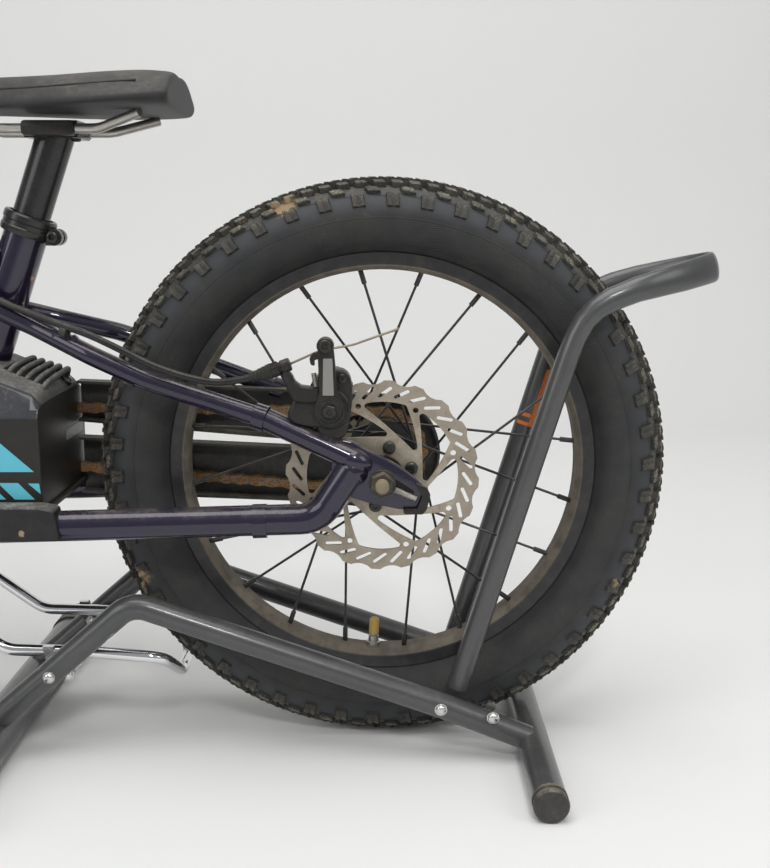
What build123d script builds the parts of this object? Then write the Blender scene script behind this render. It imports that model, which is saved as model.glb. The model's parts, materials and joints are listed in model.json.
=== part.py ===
from build123d import *
import math
import os

# A child's electric mountain bike standing in a floor stand. Sizes are in millimetres.
# X runs from the front wheel (negative) to the rear, Y from the bike's left side (negative) to its
# right, Z up from the floor. Every place is first given from the rear axle: x behind it, y from the
# middle plane and "up" above the axle line. save() then moves it to the middle of the whole length.

# Driving dimensions
TYRE_R = 214.0
BEAD_R = 152.5
LUG_PITCHES = 50
FIRST_LUG_DEG = 86.0
RIM_FLANGE_R = 159.5
RIM_INNER_R = 147.0
RIM_HALF_WIDTH = 14.2
WHEELBASE = 765.0
HEAD_SLOPE = 0.404
HEAD_AXIS_X = -732.6
SEAT_SLOPE = 0.367
SEAT_AXIS_X = -325.9
SEAT_POST_R = 13.6
BAR_R = 11.1
AXLE_R = 5.0
RUNNING = 0.05
ROTOR_R = 70.0
ROTOR_Y = -46.0
ROTOR_THICK = 2.0
CHAIN_Y = 45.0
DROPOUT_Y = 61.0
DROPOUT_THICK = 6.0
FORK_DROPOUT_Y = 50.0
LOWER_TUBE_Y = 65.0
LOWER_TUBE_R = 11.0
STAY_R = 7.0
STAY_END_R = 8.2
HOUSING_HALF = 60.0
STAND_BASE_Y = 60.0
STAND_BASE_R = 9.25
HOOP_Y = 42.5
HOOP_R = 8.0
BAIL_Y = 45.0
BAIL_R = 4.5
HOOP_TIP_X = 249.0

AXLE_Z = TYRE_R
FRONT_TIP_X = -WHEELBASE - TYRE_R
MIDDLE_X = (FRONT_TIP_X + HOOP_TIP_X) / 2


def at(x, y, up):
    return Vector(x, y, AXLE_Z + up)


def rod(start, end, radius):
    run = end - start
    return Plane(origin=start, z_dir=run) * Cylinder(
        radius, run.length, align=(Align.CENTER, Align.CENTER, Align.MIN))


def bent_tube(points, bends, radius):
    path = FilletPolyline(*points, radius=bends) if bends else Polyline(*points)
    section = Plane(origin=path @ 0, z_dir=path % 0) * Circle(radius)
    return sweep(section, path=path)


def plate(outline, y_from, y_to, corner=0.0):
    side = Plane(origin=(0, y_to, 0), x_dir=(1, 0, 0), z_dir=(0, -1, 0))
    face = make_face(Polyline(*[(x, AXLE_Z + up) for x, up in outline], close=True))
    if corner:
        face = fillet(face.vertices(), corner)
    return extrude(side * face, amount=y_to - y_from)


def mirrored(shape):
    return mirror(shape, about=Plane.XZ)


def ring(profile):
    """A closed (radius, y) outline turned about the wheel's own axis."""
    return revolve(make_face(Polyline(*profile, close=True)), axis=Axis.Y)


def on_axle(shape, x):
    return Pos(x, 0, AXLE_Z) * shape


# Wheels
# The tyre's section as (radius, y), from the rim bed out to the middle of the tread. Every pitch of the
# tread is flat from one of its ends to the other, so a point at its middle lies on the chord.
CARCASS = {
    "bead": (152.85, 12.4), "clinch": (161, 12.6), "wall": (171, 22.9), "side": (188, 28.8),
    "edge": (204, 18.5), "groove": (208.4, 0),
}
SIDE_LUG = (201.8, 27.2)
CROWN_LUG = (TYRE_R, 6.5)


def tread_point(place, side, number, middle=False):
    """A (radius, y) place of the section at the start of a pitch, or at the middle of its chord."""
    half_pitch = math.pi / LUG_PITCHES
    radius = place[0] * (math.cos(half_pitch) if middle else 1)
    angle = math.radians(FIRST_LUG_DEG) + half_pitch * (2 * number + (1 if middle else 0))
    return Vector(radius * math.cos(angle), side * place[1], radius * math.sin(angle))


def tread_pitch(number):
    """The faces of one pitch: shoulder lugs on one half of it and a lug across the crown on the other."""
    bead, clinch, wall, side_foot, edge, groove = CARCASS.values()
    outlines = [[(bead, -1, 0), (bead, 1, 0), (bead, 1, 2), (bead, -1, 2)]]
    for side in (-1, 1):
        outlines.append([(bead, side, 0), (clinch, side, 0), (clinch, side, 2), (bead, side, 2)])
        outlines.append([(clinch, side, 0), (wall, side, 0), (wall, side, 2), (clinch, side, 2)])
        outlines.append([(wall, side, 0), (side_foot, side, 0), (side_foot, side, 1), (side_foot, side, 2),
                         (wall, side, 2)])
        # the right shoulder's lugs stand half a pitch after the left one's
        lug, gap = ((0, 1), (1, 2)) if side < 0 else ((1, 2), (0, 1))
        outlines.append([(side_foot, side, gap[0]), (edge, side, gap[0]), (edge, side, gap[1]),
                         (side_foot, side, gap[1])])
        for low, high in ((side_foot, SIDE_LUG), (SIDE_LUG, edge)):
            outlines.append([(low, side, lug[0]), (high, side, lug[0]), (high, side, lug[1]),
                             (low, side, lug[1])])
        for end in lug:
            outlines.append([(side_foot, side, end), (SIDE_LUG, side, end), (edge, side, end)])
        outlines.append([(edge, side, 0), (groove, side, 0), (groove, side, 1), (edge, side, 1)])
        outlines.append([(edge, side, 1), (CROWN_LUG, side, 1), (CROWN_LUG, side, 2), (edge, side, 2)])
    outlines.append([(CROWN_LUG, -1, 1), (CROWN_LUG, 1, 1), (CROWN_LUG, 1, 2), (CROWN_LUG, -1, 2)])
    for end in (1, 2):
        outlines.append([(edge, -1, end), (CROWN_LUG, -1, end), (CROWN_LUG, 1, end), (edge, 1, end),
                         (groove, 1, end)])
    faces = []
    for outline in outlines:
        points = [tread_point(place, side, number + (1 if half == 2 else 0), half == 1)
                  for place, side, half in outline]
        faces.append(Face(Wire.make_polygon(points)))
    return faces


def tyre():
    """Tyre and inner tube as one closed ring, with its lugs."""
    faces = []
    for number in range(LUG_PITCHES):
        faces += tread_pitch(number)
    return Solid(Shell(faces))


def rim():
    half = RIM_HALF_WIDTH
    return ring([
        (RIM_INNER_R, -8), (RIM_INNER_R, 8), (150, half), (RIM_FLANGE_R, half),
        (RIM_FLANGE_R, 12.8), (BEAD_R, 12.8), (BEAD_R, -12.8), (RIM_FLANGE_R, -12.8),
        (RIM_FLANGE_R, -half), (150, -half)])


def spokes(flange_r, flange_y, first_deg):
    """Twenty spokes, 18 degrees apart, to the right and left flange by turns, pulling both ways in pairs."""
    made = []
    for number in range(20):
        side = 1 if number % 2 == 0 else -1
        pull = 1 if number % 4 in (0, 3) else -1
        rim_deg = math.radians(first_deg + 18 * number)
        hub_deg = rim_deg + pull * math.radians(74)
        inner_y = side * (flange_y + 1.6 * pull)
        inner = Vector(flange_r * math.cos(hub_deg), inner_y, flange_r * math.sin(hub_deg))
        outer = Vector(148.5 * math.cos(rim_deg), side * 2.0, 148.5 * math.sin(rim_deg))
        nipple = outer - (outer - inner).normalized() * 12.0
        made.append(rod(inner, outer, 1.0) + rod(nipple, outer, 1.9))
    return made


def rear_hub():
    return ring([
        (AXLE_R + RUNNING, -56), (9, -56), (9, -50), (15.9, -50), (15.9, ROTOR_Y + 1), (28, ROTOR_Y + 1),
        (28, -41), (17, -38), (17, -27), (29, -27), (29, -23), (15, -19), (15, 21), (29, 23), (29, 27),
        (18, 29), (18, 42), (11, 42), (11, 52), (9, 52), (9, 56), (AXLE_R + RUNNING, 56)])


def front_hub():
    return ring([
        (AXLE_R + RUNNING, -45), (8, -45), (10, -34), (20, -31), (20, -28), (11, -24),
        (11, 24), (20, 28), (20, 31), (10, 34), (8, 45), (AXLE_R + RUNNING, 45)])


def polar(radius, degrees):
    return Vector(radius * math.cos(math.radians(degrees)), radius * math.sin(math.radians(degrees)))


def rotor_window(hole_deg):
    """The curved three-cornered opening beside one small hole of the disc."""
    front, back, tip = polar(54.8, hole_deg + 8), polar(54.8, hole_deg + 43), polar(30, hole_deg - 33.5)
    opening = make_face([
        ThreePointArc(front, polar(54.8, hole_deg + 25.5), back),
        ThreePointArc(back, polar(36.3, hole_deg + 19.5), tip),
        ThreePointArc(tip, polar(42.5, hole_deg - 5.8), front),
    ])
    return fillet(opening.vertices(), 2.3)


def brake_rotor():
    """Wavy steel disc with eight leaning arms, seen from the bike's left side."""
    disc = Circle(ROTOR_R) - Circle(16)
    for number in range(20):
        disc -= Pos(*polar(80.2, 5 + 18 * number)) * Circle(13.0)
    slot_lean_deg = 127
    for number in range(32):
        slot_deg = 9.5 + 11.25 * number
        slot = Rot(0, 0, slot_deg + slot_lean_deg) * SlotOverall(12.0, 2.6)
        disc -= Pos(*polar(61.5, slot_deg)) * slot
    for number in range(8):
        hole_deg = 18.7 + 45 * number
        disc -= rotor_window(hole_deg)
        disc -= Pos(*polar(54, hole_deg)) * Circle(2.1)
    side = Plane(origin=(0, ROTOR_Y + 1, 0), x_dir=(1, 0, 0), z_dir=(0, -1, 0))
    solid = extrude(side * disc, amount=ROTOR_THICK)
    for number in range(6):
        bolt = polar(22, 17 + 60 * number)
        solid += rod(Vector(bolt.X, ROTOR_Y - 1, bolt.Y), Vector(bolt.X, ROTOR_Y - 3.5, bolt.Y), 4.3)
    return solid


def rear_sprocket():
    teeth = 16
    blank = Circle(35)
    for number in range(teeth):
        blank -= Rot(0, 0, 360 / teeth * (number + 0.5)) * Pos(34, 0) * Circle(4.2)
    blank -= Circle(11.0)
    side = Plane(origin=(0, CHAIN_Y + 1, 0), x_dir=(1, 0, 0), z_dir=(0, -1, 0))
    return extrude(side * blank, amount=2.0)


# Frame
def seat_axis(up):
    return at(SEAT_AXIS_X + SEAT_SLOPE * up, 0, up)


def head_axis(up):
    return at(HEAD_AXIS_X + HEAD_SLOPE * up, 0, up)


def seat_tube():
    outside = rod(seat_axis(84), seat_axis(185), 15.9)
    bore = rod(seat_axis(110), seat_axis(186), SEAT_POST_R)
    return outside - bore


def seat_post():
    post = rod(seat_axis(110), seat_axis(244), SEAT_POST_R)
    head = Pos(*(seat_axis(246))) * Box(38, 33, 12)
    return post + head


def seat_clamp():
    collar = rod(seat_axis(172), seat_axis(186), 19.5) - rod(seat_axis(171), seat_axis(187), 15.9)
    ears = plate([(-245, 173), (-234, 171), (-233, 180), (-244, 185)], -8, 8)
    ears -= rod(seat_axis(160), seat_axis(196), 19.5)
    slit = Pos(*at(-240, 0, 178)) * Box(24, 2.0, 24)
    return collar + ears - slit


def head_tube():
    outside = rod(head_axis(246), head_axis(338), 20)
    cups = rod(head_axis(240), head_axis(248), 22) + rod(head_axis(336), head_axis(344), 22)
    bore = rod(head_axis(238), head_axis(346), 14.3 + RUNNING)
    return outside + cups - bore


def top_tube():
    tube = rod(at(-283, 0, 150), at(-610, 0, 306), 17)
    return tube - rod(seat_axis(90), seat_axis(200), 15.9) - rod(head_axis(240), head_axis(345), 20)


def down_tube():
    tube = bent_tube([at(-617, 0, 285), at(-556, 0, 214), at(-470, 0, 46)], 80, 21)
    return tube - rod(head_axis(230), head_axis(360), 20) - rod(head_axis(230), head_axis(248), 22)


# Centre lines of the two seat stays, from the seat tube back to the dropouts; the right one runs
# higher, over the chain guard
STAY_ROUTES = {
    # x behind the axle, y, up
    "left": [(-286, -22.9, 122), (-250, -28, 106), (-206, -43.5, 86.7), (-168, -46.5, 69.9),
             (-82, -58, 44), (-17, -67, 15.5)],
    "right": [(-286, 22.9, 118), (-250, 28, 108.5), (-206, 43.5, 96), (-165, 47.5, 80.5),
              (-82, 58, 47.5), (-17, 67, 15.5)],
}
STAY_BENDS = [60, 60, 120, 120]


def seat_stay(side):
    """Thin from the seat tube to its ring, and stouter from there back to the dropout's outer face."""
    points = [at(*point) for point in STAY_ROUTES[side]]
    ring_at, end = points[4], points[5]
    along = (points[3] - ring_at).normalized()
    thin = bent_tube(points[:5], STAY_BENDS[:3], STAY_R)
    return thin + rod(ring_at, ring_at + along * 9, STAY_R + 2.4) + rod(ring_at, end, STAY_END_R)


def lower_tube():
    route = [at(-462, -LOWER_TUBE_Y, -39), at(-45.6, -LOWER_TUBE_Y, -26.7), at(-22, -LOWER_TUBE_Y, 10)]
    tube = bent_tube(route, 24, LOWER_TUBE_R)
    ferrule = rod(at(-92, -LOWER_TUBE_Y, -28.6), at(-82, -LOWER_TUBE_Y, -28.3), LOWER_TUBE_R + 1.2)
    return tube + ferrule


def cross_member():
    """Joins the two lower tubes in front of the housing and carries the down tube."""
    across = rod(at(-466, -74, -39), at(-466, 74, -39), 14)
    riser = plate([(-492, -39), (-446, -39), (-458, 52), (-486, 72)], -20, 20)
    return across + riser


DROPOUT_OUTLINE = [
    # x behind the axle, up
    (-36, 22), (-27, 33), (-11, 22), (4, 15), (19, 6), (27, -1), (31, -7), (31, -14), (25, -20), (12, -20),
    (-9, -15), (-28, -9), (-36, 0),
]


def dropout():
    shape = plate(DROPOUT_OUTLINE, -DROPOUT_Y - DROPOUT_THICK, -DROPOUT_Y)
    shape -= rod(at(0, -80, 0), at(0, -50, 0), AXLE_R)
    slot = plate([(8, 3.5), (23, -6), (20.5, -11), (5.5, -1.5)], -80, -50)
    return shape - slot


def rear_axle():
    axle = rod(at(0, -83, 0), at(0, 83, 0), AXLE_R)
    for side in (-1, 1):
        outer_face = side * (DROPOUT_Y + DROPOUT_THICK)
        spacer = rod(at(0, side * 56.5, 0), at(0, side * DROPOUT_Y, 0), 8.5)
        nut_side = Plane(origin=at(0, outer_face, 0), z_dir=(0, side, 0))
        nut = extrude(nut_side * RegularPolygon(9.6, 6), amount=9)
        axle += spacer + nut
    return axle


def tensioners():
    block = plate([(13, -5), (24, -3), (33, -10), (27, -21), (14, -21)], -71, -67.1)
    return Compound([block, mirrored(block)])


# Drive
def chain_guard():
    """A channel round both runs of the chain, closed on its outer face and open to the wheel."""
    outline = [(-242, -33), (-60, -40), (0, -46), (0, 46), (-60, 50.5), (-242, 58)]
    outside = plate(outline, 38, 51.5) + rod(at(0, 38, 0), at(0, 51.5, 0), 46)
    hollow = plate([(-243, -31), (-60, -38), (0, -44), (0, 44), (-60, 48.5), (-243, 56)], 37, 50)
    hollow += rod(at(0, 37, 0), at(0, 50, 0), 44)
    shell = outside - hollow
    gap_walls = plate([(-242, 10.7), (-68, 2.4), (-68, 12.7), (-242, 27.6)], 38, 51.5)
    gap_hole = plate([(-243, 12.7), (-70, 4.4), (-70, 10.7), (-243, 25.6)], 37, 52)
    axle_hole = rod(at(0, 37, 0), at(0, 52, 0), 14)
    return shell + gap_walls - gap_hole - axle_hole


def chain():
    """Two side-plate bands round the sprocket, tied by rollers along the straight runs."""
    centre_r, half = 32.6, 4.2
    front_x, front_top, front_low = -241.5, 35.6, -12.4
    outer, inner = [(front_x, front_top + half)], [(front_x, front_top - half)]
    for degrees in range(90, -91, -20):
        turn = polar(1, degrees)
        outer.append(((centre_r + half) * turn.X, (centre_r + half) * turn.Y))
        inner.append(((centre_r - half) * turn.X, (centre_r - half) * turn.Y))
    outer.append((front_x, front_low - half))
    inner.append((front_x, front_low + half))
    outline = outer + inner[::-1]
    whole = plate(outline, CHAIN_Y - 3.4, CHAIN_Y - 2.0) + plate(outline, CHAIN_Y + 2.0, CHAIN_Y + 3.4)
    pitch, roller_half = 12.7, 3.3
    for number in range(2, 19):
        x = -pitch * number - 6
        top = centre_r + (front_top - centre_r) * x / front_x
        low = -centre_r + (front_low + centre_r) * x / front_x
        for up in (top, low):
            corners = [(x - roller_half, up - roller_half), (x - roller_half, up + roller_half),
                       (x + roller_half, up + roller_half), (x + roller_half, up - roller_half)]
            whole += plate(corners, CHAIN_Y - 3, CHAIN_Y + 3)
    return whole


# Housing of motor and battery
HOUSING_SIDE = [
    # x behind the axle, up
    (-243, -22), (-243, 55), (-249, 62), (-290, 80), (-330, 86), (-420, 66), (-446, 38), (-446, -22),
]


def motor_housing():
    block = plate(HOUSING_SIDE, -HOUSING_HALF, HOUSING_HALF)
    top_edges = [edge for edge in block.edges()
                 if abs(abs(edge.center().Y) - HOUSING_HALF) < 0.1 and edge.center().Z > AXLE_Z + 54]
    block = chamfer(top_edges, 13)
    return block


def housing_cover():
    """Raised lid on the housing's top, with five vent ribs, cut open for the seat tube."""
    lid = plate([(-244, 56.5), (-249, 62), (-290, 80), (-330, 86), (-418, 66.2), (-418, 69), (-330, 89),
                 (-290, 83), (-249, 65), (-243.5, 59.5)], -43, 43)
    for number in range(5):
        x = -246.5 - 6.2 * number
        up = 65.5 + 2.75 * number
        lid += rod(at(x, -27, up), at(x, 27, up), 2.6)
    return lid - rod(seat_axis(60), seat_axis(100), 15.9)


def footrest():
    outline = [(-430, -42), (-226.5, -40), (-229.5, -14), (-430, -14)]
    return plate(outline, -79, -HOUSING_HALF - 0.5)


# Brake on the left side
def caliper_body():
    body = plate([(-47, 44), (-54, 60), (-50, 76), (-38, 86), (-22, 80), (-21, 34), (-32, 30), (-44, 34)],
                 -66, -34)
    foot = plate([(-66, 49), (-66, 57), (-52, 62), (-44, 52), (-44, 38), (-50, 37)], -66, -52)
    stop = plate([(-66, 78), (-64.5, 87), (-58, 85), (-47, 62), (-55, 56)], -72, -62)
    disc_slot = rod(at(0, -50.6, 0), at(0, -41.4, 0), ROTOR_R + 3)
    return body + foot + stop - disc_slot


def caliper_arm():
    pivot, tip = at(-36.5, -70, 51.9), at(-38.7, -70, 97.4)
    out = Vector(0, -8, 0)
    arm = rod(pivot + Vector(0, 4, 0), pivot + out, 10.6) + rod(tip, tip + out, 5.7)
    web = plate([(-43.5, 54), (-30, 54), (-33.2, 97), (-44.2, 97)], -78, -70)
    return arm + web


def cable_barrel():
    """The knurled adjuster at the caliper's stop, with the rubber boot that the casing runs into."""
    mouth, foot = at(-91, -66.7, 75), at(-77.2, -68, 79.5)
    run = foot - mouth
    boot = Plane(origin=mouth, z_dir=run) * Cone(
        2.9, 5.4, run.length, align=(Align.CENTER, Align.CENTER, Align.MIN))
    return boot + rod(foot, at(-63.5, -68, 84.6), 5)


# Route of the brake's outer casing along the left stay, from its port in the seat tube to the barrel
CASING_ROUTE = [
    # x behind the axle, y, up
    (-556, -12, 288),
    (-522, -19.5, 263),
    (-466, -20.5, 235.5),
    (-408, -20.2, 209),
    (-350, -20.6, 180),
    (-308, -24, 146),
    (-275, -30, 125),
    (-252, -37, 117.5),
    (-231, -42, 109.8),
    (-209, -47, 103.5),
    (-184.4, -53, 92.9),
    (-162.4, -56, 81.9),
    (-138, -60, 74.2),
    (-117, -63, 70.4),
    (-96.7, -66, 73.2),
    (-79.5, -68, 78.6),
]
CASING_R = 2.5


def route_bends(points):
    """The largest arc that each corner of a cord's route has room for."""
    radii = []
    for before, here, after in zip(points, points[1:], points[2:]):
        turn = math.radians((here - before).get_angle(after - here))
        shorter = min((here - before).length, (after - here).length)
        radii.append(0.45 * shorter / math.tan(turn / 2))
    return radii


def brake_casing():
    points = [at(*point) for point in CASING_ROUTE]
    bends = route_bends(points)
    print("brake casing bend radii", [round(radius, 1) for radius in bends])
    return bent_tube(points, bends, CASING_R)


def brake_wire():
    """From the barrel through the arm's clamp, with its loose end left long behind it."""
    route = [at(-63.5, -68, 84.6), at(-42, -76.5, 94.8), at(-20, -75.5, 98.5), at(11.4, -74, 109.5)]
    return bent_tube(route, [20, 40], 0.8)


def cable_clip():
    return Pos(*at(-226, -37.5, 102)) * Rot(0, 28, 0) * Box(9, 8, 12)


# Front end
def fork():
    steerer = rod(head_axis(212), head_axis(372), 14.3)
    crown = rod(at(-645, -52, 218), at(-645, 52, 218), 14)
    legs = []
    for side in (-1, 1):
        leg = rod(at(-645, side * 50, 218), at(-752, side * 50, 26), 12)
        tip = plate([(-770, 9), (-752, 34), (-738, 26), (-753, -8), (-765, -11), (-775, -5)],
                    side * 53 - 3, side * 53 + 3)
        legs.append(leg + tip - rod(at(-WHEELBASE, side * 40, 0), at(-WHEELBASE, side * 60, 0), AXLE_R))
    return steerer + crown + legs[0] + legs[1]


def front_axle():
    axle = rod(at(-WHEELBASE, -69, 0), at(-WHEELBASE, 69, 0), AXLE_R)
    for side in (-1, 1):
        axle += rod(at(-WHEELBASE, side * 45.5, 0), at(-WHEELBASE, side * FORK_DROPOUT_Y, 0), 8)
        nut_side = Plane(origin=at(-WHEELBASE, side * 56, 0), z_dir=(0, side, 0))
        axle += extrude(nut_side * RegularPolygon(9.6, 6), amount=8)
    return axle


BAR_X, BAR_UP = -636.0, 371.0
BAR_HALF = [
    # x, y, up from the clamp out to the left end
    (BAR_X, 0, BAR_UP), (BAR_X, -42, BAR_UP), (BAR_X + 8, -92, BAR_UP + 58), (BAR_X + 38, -265, BAR_UP + 63),
]


def handlebar():
    left = [at(*point) for point in reversed(BAR_HALF)]
    right = [Vector(point.X, -point.Y, point.Z) for point in reversed(left[:-1])]
    return bent_tube(left[:-1] + right, [30, 30, 30, 30], BAR_R)


def stem():
    bar = rod(at(BAR_X, -22, BAR_UP), at(BAR_X, 22, BAR_UP), 16) - rod(
        at(BAR_X, -23, BAR_UP), at(BAR_X, 23, BAR_UP), BAR_R)
    collar = rod(head_axis(345.5), head_axis(386), 19)
    reach = rod(at(BAR_X + 14, 0, BAR_UP - 1), head_axis(365), 13)
    return bar + collar + reach - rod(head_axis(340), head_axis(372), 14.3) - rod(
        at(BAR_X, -23, BAR_UP), at(BAR_X, 23, BAR_UP), BAR_R)


def grip():
    inner, outer = at(*BAR_HALF[2]), at(*BAR_HALF[3])
    along = (outer - inner).normalized()
    sleeve = rod(outer - along * 112, outer + along * 4, 15.5) + rod(
        outer - along * 114, outer - along * 108, 20)
    return sleeve - rod(inner, outer, BAR_R)


def brake_lever():
    inner, outer = at(*BAR_HALF[2]), at(*BAR_HALF[3])
    along = (outer - inner).normalized()
    middle = outer - along * 128
    clamp = rod(middle - along * 7, middle + along * 7, 16) - rod(inner, outer, BAR_R)
    blade = bent_tube([middle + Vector(-15, 0, -6), middle + Vector(-42, -12, -14),
                       middle + Vector(-46, -110, -18)], 15, 4.5)
    return clamp + blade


LEVER_CABLE = [
    # x behind the axle, y, up, from the lever down to the stem's collar
    (-655, -122, 424), (-674, -98, 410), (-680, -68, 386), (-668, -44, 361), (-641, -29, 349),
    (-605, -10, 359),
]


# Saddle
def saddle():
    """A closed, padded shape: narrow nose to the front, wide and raised at the back."""
    plan = Plane(origin=at(0, 0, 256))
    outline = make_face([
        Line((-352, 16), (-290, 24)),
        Spline((-290, 24), (-220, 56), (-165, 66), (-140, 50), tangents=[(1, 0.15), (0.1, -1)]),
        Line((-140, 50), (-140, -50)),
        Spline((-140, -50), (-165, -66), (-220, -56), (-290, -24), tangents=[(-0.1, -1), (-1, 0.15)]),
        Line((-290, -24), (-352, -16)),
        ThreePointArc((-352, -16), (-366, 0), (-352, 16)),
    ])
    return fillet(extrude(plan * outline, amount=32).edges().group_by(Axis.Z)[-1], 9)


def saddle_rails():
    rails = []
    for side in (-1, 1):
        route = [at(-318, side * 8, 255.9), at(-282, side * 20, 246), at(-200, side * 20, 246),
                 at(-168, side * 34, 255.9)]
        rails.append(bent_tube(route, [20, 20], 3.5))
    return Compound(rails)


# Stand, all one welded and bolted piece on the floor
BASE_ROUTE = [
    # x behind the axle, up
    (-291, -186), (-182.6, -91.5), (43, -170.5), (109, -197),
]
BAIL_ROUTE = [
    # x behind the axle, y, up
    (-345, -BAIL_Y, -85), (-281, -BAIL_Y, -133), (-217, -BAIL_Y, -135), (-165, -BAIL_Y, -139.5),
    (-156, -16, -161),
]
BAIL_PLATE = [(-252, -128), (-244.5, -128), (-240.5, -146), (-248.5, -147)]
HOOP_ROUTE = [
    # x behind the axle, y, up, from the foot of the left leg to the rear end
    (56.5, -HOOP_Y, -164), (145.5, -HOOP_Y, 122), (197, -HOOP_Y, 143), (241, -27, 149.5),
]


def stand_base():
    route = [at(x, -STAND_BASE_Y, up) for x, up in BASE_ROUTE]
    tube = bent_tube(route, [22, 60], STAND_BASE_R)
    return tube - front_foot_tube() - rear_foot_tube()


def front_foot_tube():
    return rod(at(-291, -150, -TYRE_R + 17), at(-291, 150, -TYRE_R + 17), 17)


def rear_foot_tube():
    return rod(at(113, -140, -TYRE_R + 12), at(113, 140, -TYRE_R + 12), 12)


def stand_feet():
    return Compound([front_foot_tube(), rear_foot_tube()])


def stand_caps():
    caps = []
    for side in (-1, 1):
        caps.append(rod(at(-291, side * 150, -TYRE_R + 18), at(-291, side * 188, -TYRE_R + 18), 18))
        caps.append(rod(at(113, side * 140, -TYRE_R + 12.5), at(113, side * 152, -TYRE_R + 12.5), 12.5))
    return Compound(caps)


def stand_hoop():
    left = [at(*point) for point in HOOP_ROUTE]
    right = [Vector(point.X, -point.Y, point.Z) for point in reversed(left)]
    return bent_tube(left + right, [40, 30, 22, 22, 30, 40], HOOP_R)


def stand_bail():
    """One bent rod that passes below the rear tyre, closed by a bar in front and held by two plates."""
    left = [at(*point) for point in BAIL_ROUTE]
    right = [Vector(point.X, -point.Y, point.Z) for point in reversed(left)]
    loop = bent_tube(left + right, [25, 40, 14, 12, 12, 14, 40, 25], BAIL_R)
    bracket = plate(BAIL_PLATE, -52.5, -BAIL_Y - 3)
    return loop + rod(left[0], right[-1], BAIL_R) + bracket + mirrored(bracket)


def front_casing():
    points = [at(*point) for point in LEVER_CABLE]
    bends = route_bends(points)
    print("front casing bend radii", [round(radius, 1) for radius in bends])
    return bent_tube(points, bends, CASING_R)


# Which node is cut to fit against which others
FITTED = {
    "top_tube": ["brake_casing"],
    "down_tube": ["cross_member", "top_tube"],
    "lower_tube_left": ["cross_member"],
    "lower_tube_right": ["cross_member"],
    "dropout_left": ["lower_tube_left", "seat_stay_left"],
    "dropout_right": ["lower_tube_right", "seat_stay_right"],
    "footrest_left": ["lower_tube_left"],
    "footrest_right": ["lower_tube_right"],
    "chain_guard": ["lower_tube_right", "seat_stay_right"],
    "housing_cover": ["motor_housing"],
    "cable_barrel": ["brake_casing", "brake_wire"],
    "caliper_arm": ["brake_wire"],
    "caliper_body": ["cable_barrel", "brake_wire", "dropout_left", "seat_stay_left"],
    "cable_clip": ["seat_stay_left", "brake_casing"],
    "seat_stay_left": ["lower_tube_left"],
    "seat_stay_right": ["lower_tube_right"],
    "stand_bail": ["stand_base_left", "stand_base_right"],
    "stem": ["handlebar", "front_casing"],
    "brake_lever": ["handlebar", "front_casing"],
    "saddle": ["saddle_rails"],
}


def wheels():
    made = {}
    for name, x, flange_r, flange_y in (("rear", 0.0, 28, 25), ("front", -WHEELBASE, 18.5, 29.5)):
        made[f"{name}_tyre"] = on_axle(tyre(), x)
        made[f"{name}_rim"] = on_axle(rim(), x)
        made[f"{name}_spokes"] = Compound([on_axle(spoke, x) for spoke in spokes(flange_r, flange_y, 6.5)])
    made["rear_hub"] = on_axle(rear_hub(), 0)
    made["front_hub"] = on_axle(front_hub(), -WHEELBASE)
    made["brake_rotor"] = on_axle(brake_rotor(), 0)
    made["rear_sprocket"] = on_axle(rear_sprocket(), 0)
    return made


def frame():
    made = {
        "seat_tube": seat_tube(), "seat_post": seat_post(), "seat_clamp": seat_clamp(),
        "head_tube": head_tube(), "top_tube": top_tube(), "down_tube": down_tube(),
        "cross_member": cross_member(), "rear_axle": rear_axle(), "axle_tensioners": tensioners(),
        "saddle": saddle(), "saddle_rails": saddle_rails(),
        "seat_stay_left": seat_stay("left"), "seat_stay_right": seat_stay("right"),
    }
    for name, shape in (("lower_tube", lower_tube()), ("dropout", dropout()), ("footrest", footrest())):
        made[f"{name}_left"] = shape
        made[f"{name}_right"] = mirrored(shape)
    return made


def drive_and_brake():
    return {
        "chain_guard": chain_guard(), "chain": chain(),
        "motor_housing": motor_housing(), "housing_cover": housing_cover(),
        "caliper_body": caliper_body(), "caliper_arm": caliper_arm(), "cable_barrel": cable_barrel(),
        "brake_casing": brake_casing(), "brake_wire": brake_wire(), "cable_clip": cable_clip(),
    }


def front_end():
    return {
        "fork": fork(), "front_axle": front_axle(), "stem": stem(), "handlebar": handlebar(),
        "grip_left": grip(), "grip_right": mirrored(grip()), "brake_lever": brake_lever(),
        "front_casing": front_casing(),
    }


def stand():
    return {
        "stand_base_left": stand_base(), "stand_base_right": mirrored(stand_base()),
        "stand_feet": stand_feet(), "stand_caps": stand_caps(),
        "stand_hoop": stand_hoop(), "stand_bail": stand_bail(),
    }


def main():
    os.makedirs("parts", exist_ok=True)
    nodes = {**wheels(), **frame(), **drive_and_brake(), **front_end(), **stand()}
    for node, others in FITTED.items():
        for other in others:
            nodes[node] -= nodes[other]
    for node, shape in nodes.items():
        solids = shape.solids()
        whole = Compound(solids) if len(solids) > 1 else solids[0]
        export_step(Pos(-MIDDLE_X, 0, 0) * whole, f"parts/{node}.step")


main()
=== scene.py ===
import bpy
import bmesh
import json
import math
import random
from mathutils import Matrix, Vector


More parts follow.
